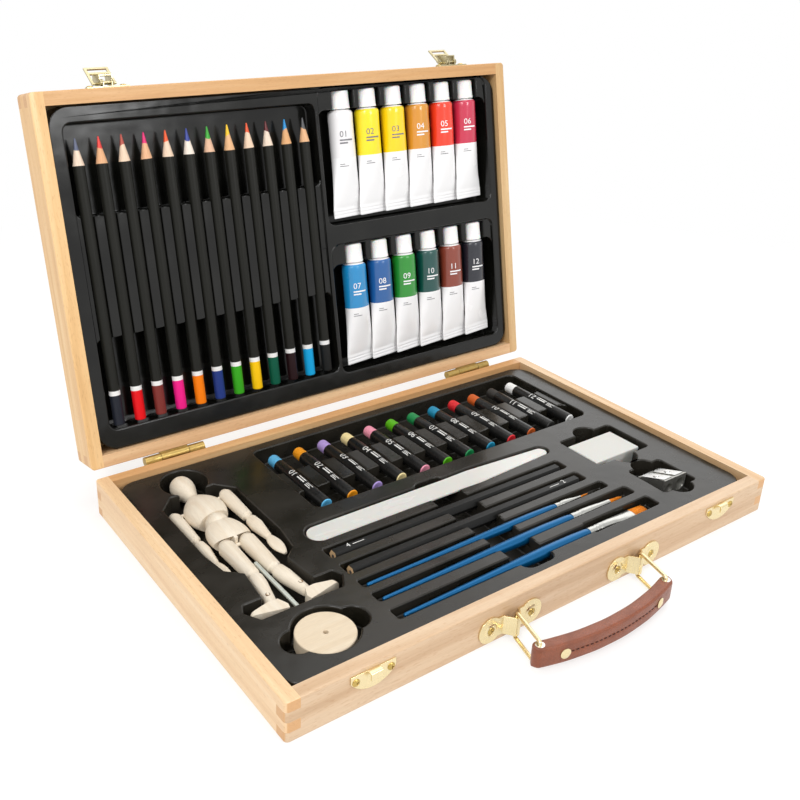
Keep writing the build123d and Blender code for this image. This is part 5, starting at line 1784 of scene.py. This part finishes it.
@dataclass
class Pastels:
    """Twelve oil pastels in black paper sleeves that are printed with plain numbers."""

    first_x: float = -68.0
    pitch: float = 19.05
    front_y: float = 22.0
    axis_z: float = 15.75
    length: float = 65.0
    radius: float = 3.95
    sleeve_radius: float = 4.25
    sleeve: Pair = (0.6, 56.0)
    paper: float = 0.1
    sleeve_sides: int = 48
    overlap_at: float = 2.4
    roll: float = 0.25
    number_at: float = 41.0
    number_high: float = 4.6
    print_turn: float = 0.3
    white: str = "#DEDDD9"
    black: str = "#161615"
    # Printed bars: length, thickness, place along the stick and across it
    bars: tuple[tuple[float, float, float, float], ...] = (
        (8.0, 0.9, 8.4, 1.6),
        (8.0, 0.9, 8.4, -0.2),
        (6.5, 0.5, 18.5, 1.3),
        (4.5, 0.5, 18.5, 0.2),
        (6.0, 0.5, 18.5, -0.9),
    )
    colours: tuple[str, ...] = (
        "#5AB4E2", "#F09A12", "#B49BDD", "#F3DFA2", "#F49BB2", "#55B206",
        "#138A4C", "#178DB4", "#DD242E", "#CE5E20", "#2A2A28", "#F4F4F2",
    )

    def build(self) -> None:
        """Make the sticks, the sleeves and the print on them."""
        sticks = Shell("pastel_sticks_cast", (PASTEL_WAX,))
        sleeves = Shell("pastel_sleeves_rolled", (SLEEVE_PAPER,))
        prints = Shell("pastel_sleeve_print", (PRINT,))
        chance = random.Random(11)
        for index, colour in enumerate(self.colours):
            place = at(self.first_x + self.pitch * index, self.front_y, self.axis_z)
            place = place @ turned(chance.uniform(-self.roll, self.roll), "Y")
            self.stick(sticks, place, colour)
            self.wrap(sleeves, place)
            self.number(prints, place, f"{index + 1:02d}")
        ride(sticks.made(), Body.BASE, "pastel_sticks")
        ride(sleeves.made(), Body.BASE, "pastel_sleeves")
        ride(prints.made(), Body.BASE)

    def stick(self, shell: Shell, place: Matrix, colour: str) -> None:
        """One stick with a moulded ring at its front and a slightly dented back end.

        Args:
            shell: The mesh that gets it.
            place: The place of its front end.
            colour: Its hex colour.
        """
        r, length = self.radius, self.length
        outline = [(0, 0.55), (1.2, 0.5), (1.5, 0.3), (2.7, 0.16), (3.1, 0.0), (r - 0.35, 0.06), (r, 0.5)]
        outline += [(r, length * 0.5), (r, length - 1.2), (r - 0.3, length - 0.35), (r - 1.0, length)]
        shell.lathe(outline + [(0, length - 0.1)], place, colour, 36)

    def wrap(self, shell: Shell, place: Matrix) -> None:
        """One sleeve, open at both ends, with the step where the paper overlaps.

        Args:
            shell: The mesh that gets it.
            place: The place of its stick's front end.
        """
        (low, high), inner, outer = self.sleeve, self.radius + 0.02, self.sleeve_radius
        rows = [(inner, low), (outer - 0.03, low), (outer, low + 0.12), (outer, (low + high) / 2)]
        rows += [(outer, high - 0.12), (outer - 0.03, high), (inner, high)]
        rings = []
        for radius, along in rows:
            ring = []
            for i, turn in enumerate(turns(self.sleeve_sides)):
                reach = radius - (self.paper * (i / self.sleeve_sides) if radius > inner else 0.0)
                turn += self.overlap_at
                ring.append(Vector((reach * math.sin(turn), along, reach * math.cos(turn))))
            rings.append(shell.ring(ring, place))
        shell.skin(rings, self.black, caps=False)

    def number(self, shell: Shell, place: Matrix, text: str) -> None:
        """A plain number and bars along the upper side of one sleeve.

        Args:
            shell: The mesh that gets it.
            place: The place of its stick's front end.
            text: The digits.
        """
        shapes = [(numeral(text, self.number_high, 0.5), 0.0, -1.6)]
        shapes += [(bar(long, thick, 2), back, across) for long, thick, back, across in self.bars]
        reach = self.sleeve_radius + INK_LIFT
        for (points, faces), back, across in shapes:
            bent = []
            for point in points:
                turn = (across + point.y) / reach - self.print_turn
                along = self.number_at - back - point.x
                bent.append(Vector((reach * math.sin(turn), along, reach * math.cos(turn))))
            shell.patch((bent, faces), place, self.white)


@dataclass
class Brush:
    """One flat or round brush: where it lies and the sizes of its ferrule and hair."""

    start: Pair
    butt_x: float
    ferrule: float
    ferrule_radius: float
    mouth: Pair
    hair: float
    # How far the strands draw together, how much shorter the outer ones are, and their number
    gather: float
    dome: float
    strands: int


@dataclass
class LongTools:
    """The frosted palette knife, two black graphite pencils and three brushes."""

    across: float = 7.0
    # Each corner of a graphite pencil is rounded over this turn to both sides
    corner_turn: float = 0.08
    graphite_y: Pair = (-24.5, -41.5)
    graphite_x: Pair = (-94.5, 80.5)
    graphite_z: float = 16.5
    core: float = 1.1
    number_high: float = 3.6
    # The digits with where the number and its bar begin
    labels: tuple[tuple[str, float, float], ...] = (("4", -85.5, -81.5), ("2", 67.5, 56.5))
    black: str = "#191918"
    cut_wood: str = "#E2BC8C"
    cut_core: str = "#4A4A4B"
    white: str = "#DEDDD9"
    brush_top: float = 20.0
    belly_more: float = 0.55
    border: float = 1.6
    border_high: float = 0.3
    knife_edge: float = 0.3
    # Hair: how far it keeps inside the mouth, how deep it starts, its unevenness, and its least gathering
    hair_inset: float = 0.25
    hair_root: float = 1.0
    hair_uneven: Pair = (0.93, 1.0)
    flat_gather: float = 0.6
    strand_radius: float = 0.14
    strand_bend: float = 0.35
    strand_points: int = 5
    golden_turn: float = 2.399963
    brushes: tuple[Brush, ...] = (
        Brush((46.0, -56.6), -94.5, 22.0, 2.2, (1.6, 1.6), 7.0, gather=0.5, dome=0.5, strands=60),
        Brush((46.0, -70.0), -94.0, 33.0, 2.9, (3.8, 3.8), 12.0, gather=0.55, dome=0.45, strands=210),
        Brush((43.0, -86.2), -92.5, 38.0, 3.1, (8.6, 2.8), 12.5, gather=0.9, dome=0.12, strands=330),
    )

    def build(self) -> None:
        """Make the knife, the pencils and the brushes."""
        self.knife()
        self.pencils()
        self.brush_set()

    def knife(self) -> None:
        """The moulded knife, with the low border that runs round its upper face."""
        form = joined("palette_knife")
        top = max(form.faces, key=lambda face: face.calc_area() * face.normal.z)
        bmesh.ops.inset_region(form, faces=[top], thickness=self.border * MM, depth=0.0, use_even_offset=True)
        for point in top.verts:
            point.co.z -= self.border_high * MM
        ease_sharp(form, self.knife_edge, 3)
        ride(plain(form, "palette_knife_moulded", FROSTED), Body.BASE, "palette_knife")

    def pencils(self) -> None:
        """Two hexagonal pencils with lacquered sides, bare ends, cores and a plain number."""
        bodies = Shell("graphite_pencil_bodies", (LACQUER, SHARPENED))
        cores = Shell("graphite_pencil_cores", (WAX_LEAD,))
        prints = Shell("graphite_pencil_print", (PRINT,))
        (left, right), core = self.graphite_x, self.core
        rows = [(left, 0.25), (left + 0.3, 0.0), ((left + right) / 2, 0.0), (right - 0.3, 0.0), (right, 0.25)]
        for y, (digit, number_x, bar_x) in zip(self.graphite_y, self.labels):
            middle = at(0, y, self.graphite_z)
            rings = [bodies.ring(self.hexagon(x, self.across / 2 - less), middle) for x, less in rows]
            bodies.skin(rings, self.black, caps=False)
            for x, way, edge in ((left, -1, rings[0]), (right, 1, rings[-1])):
                (hub,) = bodies.ring([Vector((0.02 * way, 0, 0))], at(x, y, self.graphite_z))
                for pair in pairs(edge):
                    bodies.face((*pair, hub), self.cut_wood, 1)
                lay = at(x, y, self.graphite_z) @ turned(-way * QUARTER, "Z")
                cores.lathe([(0, -0.6), (core, -0.6), (core, 0.06), (0, 0.07)], lay, self.cut_core, 20)
            above = self.graphite_z + self.across / 2 + INK_LIFT
            prints.patch(numeral(digit, self.number_high, 1.4), at(number_x, y - 1.2, above), self.white)
            prints.patch(bar(8.0, 0.5, 1), at(bar_x, y - 0.25, above), self.white)
        ride(bodies.made(30.0), Body.BASE, "graphite_pencils")
        ride(cores.made(30.0), Body.BASE, "graphite_cores")
        ride(prints.made(), Body.BASE)

    def hexagon(self, x: float, half: float) -> list[Vector]:
        """A hexagonal section with small rounded corners, flat side up.

        Args:
            x: Its place along the pencil.
            half: Half the distance between two flats.

        Returns:
            The section's points.
        """
        corner = half / math.cos(math.pi / 6)
        made = []
        for turn in (i * math.pi / 3 for i in range(6)):
            for lean in (-self.corner_turn, 0.0, self.corner_turn):
                reach = corner * (0.985 - abs(lean) * 0.45)
                made.append(Vector((x, reach * math.cos(turn + lean), reach * math.sin(turn + lean))))
        return made

    def brush_set(self) -> None:
        """Make the handles, ferrules and hair of the brushes."""
        handles = Shell("brush_handles_turned", (BRUSH_LACQUER,))
        ferrules = Shell("brush_ferrules_pressed", (FERRULE,))
        hairs = []
        for number, brush in enumerate(self.brushes):
            belly = brush.ferrule_radius + self.belly_more
            place = at(*brush.start, self.brush_top - belly) @ turned(-QUARTER, "Z")
            self.handle(handles, place, brush, belly)
            self.ferrule(ferrules, place, brush)
            hairs.append(self.strands(place, brush, number))
        ride(handles.made(), Body.BASE, "brush_handles")
        ride(ferrules.made(), Body.BASE, "brush_ferrules")
        ride(self.together(hairs), Body.BASE, "brush_bristles")

    def handle(self, shell: Shell, place: Matrix, brush: Brush, belly: float) -> None:
        """One turned handle: thin at its rounded butt and fullest before the ferrule.

        Args:
            shell: The mesh that gets it.
            place: The place where handle and ferrule meet, Y toward the hair.
            brush: The brush.
            belly: The handle's largest radius.
        """
        length, r = brush.start[0] - brush.butt_x, brush.ferrule_radius
        rows = [(0.0, -length + 0.02), (0.8, -length + 0.25), (1.25, -length + 0.9), (1.35, -length * 0.97)]
        shares = ((0.55, 0.75), (0.8, 0.5), (0.96, 0.32), (1.0, 0.22), (0.97, 0.12))
        rows += [(belly * wide, -length * along) for wide, along in shares]
        rows += [(r + 0.05, -2.5), (r - 0.35, 0.0), (r - 0.4, 3.0)]
        shell.lathe(eased(rows, 9.0, 4), place, BRUSH_LACQUER.colour, 28)

    def ferrule(self, shell: Shell, place: Matrix, brush: Brush) -> None:
        """One seamless ferrule: round at the handle with two crimps, pressed to the shape of its mouth.

        Args:
            shell: The mesh that gets it.
            place: The place where handle and ferrule meet, Y toward the hair.
            brush: The brush.
        """
        r, length = brush.ferrule_radius, brush.ferrule
        wide, thick = brush.mouth[0] / 2, brush.mouth[1] / 2
        rows = [(r - 0.3, 0.0, r - 0.3), (r, 0.0, r)]
        for crimp in (length * 0.14, length * 0.21):
            rows += [(r, crimp - 0.9, r), (r - 0.28, crimp, r - 0.28), (r, crimp + 0.9, r)]
        rows.append((r, length * 0.35, r))
        for t in (0.2, 0.4, 0.6, 0.8, 1.0):
            share = t * t * (3 - 2 * t)
            rows.append((r + (wide - r) * share, length * (0.35 + 0.65 * t), r + (thick - r) * share))
        rows += [(wide - 0.2, length, thick - 0.2), (wide - 0.22, length - 3.0, thick - 0.22)]
        shell.skin([shell.ring(oval(*row, 36), place) for row in rows], FERRULE.colour, caps=False)

    def strands(self, place: Matrix, brush: Brush, seed: int) -> bpy.types.Object:
        """The hair of one brush: strands that start inside the mouth and draw together to the tip.

        Args:
            place: The place where handle and ferrule meet, Y toward the hair.
            brush: The brush.
            seed: What makes its strands its own.

        Returns:
            The hair.
        """
        chance = random.Random(seed + 40)
        wide, thick = brush.mouth[0] / 2 - self.hair_inset, brush.mouth[1] / 2 - self.hair_inset
        flat = min(brush.gather, self.flat_gather)
        points, reaches = [], []
        for k in range(brush.strands):
            turn = k * self.golden_turn
            reach = math.sqrt((k + 0.5) / brush.strands)
            u, v = reach * math.cos(turn), reach * math.sin(turn)
            tall = brush.hair * (1 - brush.dome * reach * reach) * chance.uniform(*self.hair_uneven)
            points.append(place @ Vector((u * wide, brush.ferrule - self.hair_root, v * thick)) * MM)
            tip = Vector((u * wide * brush.gather, brush.ferrule + tall, v * thick * flat))
            reaches.append((place @ tip) * MM - points[-1])
        made = scattered(f"brush_hair_{seed}", points, "reach", reaches)
        radius, bend = self.strand_radius * MM, self.strand_bend * MM
        return grown(made, self.hair_tree(), Radius=radius, Bend=bend, Seed=seed + 7, Finish=HAIR.material())

    def hair_tree(self) -> bpy.types.NodeTree:
        """The tree that grows one tapering, slightly bent strand from every point along its stored reach.

        Returns:
            The node group.
        """
        nodes, given = group("brush_hair_growth", Radius="Float", Bend="Float", Seed="Int", Finish="Material")
        line = {"Count": self.strand_points, "Start Location": (0, 0, 0), "Offset": (0, 0, 0)}
        stalk = nodes.add("GeometryNodeMeshToCurve", {"Mesh": nodes.add("GeometryNodeMeshLine", line)})
        copying = {"Points": given.outputs["Geometry"], "Instance": stalk}
        storing = {
            "Geometry": nodes.add("GeometryNodeInstanceOnPoints", copying),
            "Name": "way",
            "Value": stored_vector(nodes, "reach"),
        }
        passed = nodes.add(
            "GeometryNodeStoreNamedAttribute", storing, data_type="FLOAT_VECTOR", domain="INSTANCE"
        )
        real = nodes.add("GeometryNodeRealizeInstances", {"Geometry": passed})
        along = nodes.add("GeometryNodeSplineParameter").outputs["Factor"]
        way = stored_vector(nodes, "way")
        run = nodes.add("ShaderNodeVectorMath", {0: way, "Scale": along}, operation="SCALE")
        spline = nodes.math("MULTIPLY", nodes.add("GeometryNodeInputIndex"), 1 / self.strand_points)
        choice = {"Min": (-1, -1, -1), "Max": (1, 1, 1), "ID": nodes.math("FLOOR", spline)}
        choice["Seed"] = given.outputs["Seed"]
        own = nodes.add("FunctionNodeRandomValue", choice, data_type="FLOAT_VECTOR")
        lean = nodes.math("MULTIPLY", nodes.math("POWER", along, 2.0), given.outputs["Bend"])
        sway = nodes.add("ShaderNodeVectorMath", {0: own, "Scale": lean}, operation="SCALE")
        total = nodes.add("ShaderNodeVectorMath", {0: run, 1: sway})
        taper = nodes.span(along, (1.0, 0.3), (0.5, 1.0))
        drawing = {
            "Curve": nodes.add("GeometryNodeSetPosition", {"Geometry": real, "Offset": total}),
            "Profile Curve": nodes.add("GeometryNodeCurvePrimitiveCircle", {"Resolution": 5, "Radius": 1.0}),
            "Scale": nodes.math("MULTIPLY", taper, given.outputs["Radius"]),
            "Fill Caps": True,
        }
        return coated(nodes, nodes.add("GeometryNodeCurveToMesh", drawing), given.outputs["Finish"])

    def together(self, hairs: Sequence[bpy.types.Object]) -> bpy.types.Object:
        """All the hair in one mesh, in one tint.

        Args:
            hairs: The hair of each brush, which is used up.

        Returns:
            The whole hair.
        """
        form = bmesh.new()
        for hair in hairs:
            form.from_mesh(hair.data)
            bpy.data.objects.remove(hair)
        mesh = bpy.data.meshes.new("brush_hair")
        form.to_mesh(mesh)
        form.free()
        mesh.materials.clear()
        mesh.materials.append(HAIR.material())
        tint = mesh.attributes.get("tint") or mesh.attributes.new("tint", "FLOAT_COLOR", "FACE")
        for item in tint.data:
            item.color = linear(HAIR.colour)
        return placed(mesh, "brush_hair_strands", 60.0)


@dataclass
class SmallTools:
    """The white eraser and the wedge-shaped metal sharpener with two holes."""

    # CAD node, finish, width and parts of the easing, and slot
    pieces: tuple[tuple[str, Finish, float, int, str], ...] = (
        ("eraser", VINYL, 0.5, 3, "white_rubber"),
        ("sharpener_body", MAGNESIUM, 0.22, 2, "cast_magnesium"),
        ("sharpener_blades", HONED, 0.08, 1, "blade_steel"),
        ("sharpener_screws", HONED, 0.1, 2, "brass_screw"),
    )

    def build(self) -> None:
        """Soften each piece and finish it."""
        for node, finish, width, parts, slot in self.pieces:
            soften(node, finish, width, Body.BASE, parts)


@dataclass
class LayFigure:
    """The jointed wooden figure, its round foot and the rod that holds it up."""

    edge_mm: float = 0.2
    stand_edge_mm: float = 0.5
    rod_x: float = -131.6
    rod_y: Pair = (-51.0, -3.0)
    rod_z: float = 13.6
    rod_radius: float = 1.25
    chamfer: float = 0.3
    ankle: Triple = (10.1, -34.2, 16.95)
    pin_radius: float = 1.3
    pin_side: str = "#6B4F33"
    slot: str = "pale_turned_wood"

    def build(self) -> None:
        """Finish the turned pieces, the stand, the rod and the ankle pins."""
        for node in ("figure_head", "figure_torso"):
            soften(node, FIGURE_WOOD, self.edge_mm, Body.BASE)
        for limb in (Body.ARM_LEFT, Body.ARM_RIGHT, Body.LEG_LEFT, Body.LEG_RIGHT):
            soften(limb.value, FIGURE_WOOD, self.edge_mm, limb)
        soften("figure_stand", STAND_WOOD, self.stand_edge_mm, Body.BASE, 3)
        self.rod()
        self.pins()

    def rod(self) -> None:
        """The straight steel rod, lying between the legs, with chamfered ends."""
        shell = Shell("figure_rod_drawn", (ROD_STEEL,))
        r, cut, (low, high) = self.rod_radius, self.chamfer, self.rod_y
        outline = [(0, low), (r - cut, low), (r, low + cut), (r, (low + high) / 2)]
        outline += [(r, high - cut), (r - cut, high), (0, high)]
        shell.lathe(outline, at(self.rod_x, 0, self.rod_z), ROD_STEEL.colour, 20)
        ride(shell.made(), Body.BASE, "figure_rod")

    def pins(self) -> None:
        """The dowels that show as small dark rings in the front of each ankle."""
        (spread, y, z), r = self.ankle, self.pin_radius
        outline = [(0, -0.8), (r, -0.8), (r, 0.14), (r - 0.12, 0.2), (r - 0.3, 0.18)]
        outline += [(r - 0.36, 0.04), (0, 0.06)]
        for way, body in zip(WAYS, (Body.LEG_LEFT, Body.LEG_RIGHT)):
            shell = Shell(f"figure_ankle_pin_{body.value}", (DOWEL_END,))
            place = at(self.rod_x + way * spread, y, z) @ turned(QUARTER, "X")
            shell.lathe(outline, place, [self.pin_side] * 5 + [DOWEL_END.colour], 20)
            ride(shell.made(), body)


# The studio


@dataclass
class Studio:
    """The white surroundings, the lamps and the camera."""

    position: Triple = (-344.152, -391.13, 332.703)
    forward: Triple = (0.53835658, 0.73939932, -0.40430291)
    upward: Triple = (0.21199778, 0.3455048, 0.91415719)
    lens: float = 43.318
    sensor: float = 36.0
    nearest: float = 0.01
    shift: Pair = (0.044186, -0.051402)
    soft_light: float = 0.6
    sheet_half: float = 3.0
    sheet_drop: float = 0.0002
    sheet_grey: float = 0.4
    sheet_glow: float = 0.62
    # The sheet turns to plain white between these distances, in metres
    shadow_fade: Pair = (0.3, 0.75)
    white: Colour = (1.0, 1.0, 1.0, 1.0)
    # Name, place, aim and side in millimetres, and power in watts
    lamps: tuple[tuple[str, Triple, Triple, float, float], ...] = (
        ("window_left", (-900, -500, 900), (0, 0, 60), 420, 6.9),
        ("window_front", (250, -1100, 700), (0, 0, 40), 380, 4.8),
        ("overhead", (100, 150, 1200), (0, 0, 0), 800, 4.2),
        ("bright_wall", (1300, 880, 870), (100, 0, 0), 1500, 8.0),
    )

    def build(self) -> None:
        """Set up the world, the floor, the lamps and the camera."""
        self.world()
        self.floor()
        for lamp in self.lamps:
            self.lamp(*lamp)
        self.camera()

    def world(self) -> None:
        """Soft grey light from all round that shows as white to the eye and in reflections."""
        world = bpy.data.worlds.new("white_room")
        bpy.context.scene.world = world
        world.use_nodes = True
        nodes = Nodes(world.node_tree)
        path = nodes.add("ShaderNodeLightPath").outputs
        mirrored = nodes.math("MAXIMUM", path["Is Glossy Ray"], path["Is Transmission Ray"])
        seen = nodes.math("MAXIMUM", path["Is Camera Ray"], mirrored)
        soft = nodes.add("ShaderNodeBackground", {"Color": self.white, "Strength": self.soft_light})
        bright = nodes.add("ShaderNodeBackground", {"Color": self.white, "Strength": 1.0})
        both = nodes.add("ShaderNodeMixShader", {0: seen, 1: soft, 2: bright})
        nodes.add("ShaderNodeOutputWorld", {"Surface": both})

    def floor(self) -> None:
        """A wide white sheet that keeps the object's soft shadow."""
        half, grey = self.sheet_half, self.sheet_grey
        mesh = bpy.data.meshes.new("white_sheet")
        corners = [(-half, -half, 0), (half, -half, 0), (half, half, 0), (-half, half, 0)]
        mesh.from_pydata(corners, [], [(0, 1, 2, 3)])
        material = bpy.data.materials.new("paper_sheet_white")
        material.use_nodes = True
        nodes = Nodes(material.node_tree)
        lit = nodes.add("ShaderNodeBsdfDiffuse", {"Color": (grey, grey, grey, 1.0)})
        own = nodes.add("ShaderNodeEmission", {"Color": self.white, "Strength": self.sheet_glow})
        near = nodes.add("ShaderNodeAddShader", {0: lit, 1: own})
        place = nodes.add("ShaderNodeTexCoord").outputs["Object"]
        reach = nodes.add("ShaderNodeVectorMath", {0: place}, operation="LENGTH").outputs["Value"]
        bare = nodes.add("ShaderNodeEmission", {"Color": self.white, "Strength": 1.0})
        away = nodes.span(reach, (0.0, 1.0), self.shadow_fade)
        both = nodes.add("ShaderNodeMixShader", {0: away, 1: near, 2: bare})
        nodes.add("ShaderNodeOutputMaterial", {"Surface": both})
        mesh.materials.append(material)
        sheet = linked("white_sheet", mesh)
        sheet.location = (0.0, 0.0, -self.sheet_drop)

    def lamp(self, name: str, where: Triple, to: Triple, size: float, power: float) -> None:
        """One square lamp.

        Args:
            name: Its name.
            where: Its place in millimetres.
            to: The point that it faces, in millimetres.
            size: Its side in millimetres.
            power: Its power in watts.
        """
        data = bpy.data.lights.new(name, "AREA")
        data.size = size * MM
        data.energy = power
        made = linked(name, data)
        start, end = Vector(where) * MM, Vector(to) * MM
        aim = (end - start).to_track_quat("-Z", "Y").to_matrix().to_4x4()
        made.matrix_world = Matrix.Translation(start) @ aim

    def camera(self) -> None:
        """The camera, found from the corners of the case in the photo."""
        data = bpy.data.cameras.new("photo_camera")
        data.sensor_width = self.sensor
        data.lens = self.lens
        data.shift_x, data.shift_y = self.shift
        data.clip_start = self.nearest
        data.dof.use_dof = False
        made = linked("photo_camera", data)
        forward = Vector(self.forward).normalized()
        right = forward.cross(Vector(self.upward)).normalized()
        turn = Matrix((right, right.cross(forward), -forward)).transposed().to_4x4()
        made.matrix_world = Matrix.Translation(Vector(self.position) * MM) @ turn
        bpy.context.scene.camera = made


def main() -> None:
    """Build every part of the box in order."""
    logging.basicConfig(level=logging.INFO, format="%(name)s: %(message)s")
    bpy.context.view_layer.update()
    bpy.context.scene.view_settings.view_transform = "Standard"
    fixed = (Case(), Hardware(), Handle())
    contents = (ColouredPencils(), PaintTubes(), Pastels(), LongTools(), SmallTools(), LayFigure())
    for part in (*fixed, *contents, Studio()):
        LOG.info("building %s", type(part).__name__)
        part.build()


if __name__ == "__main__":
    main()
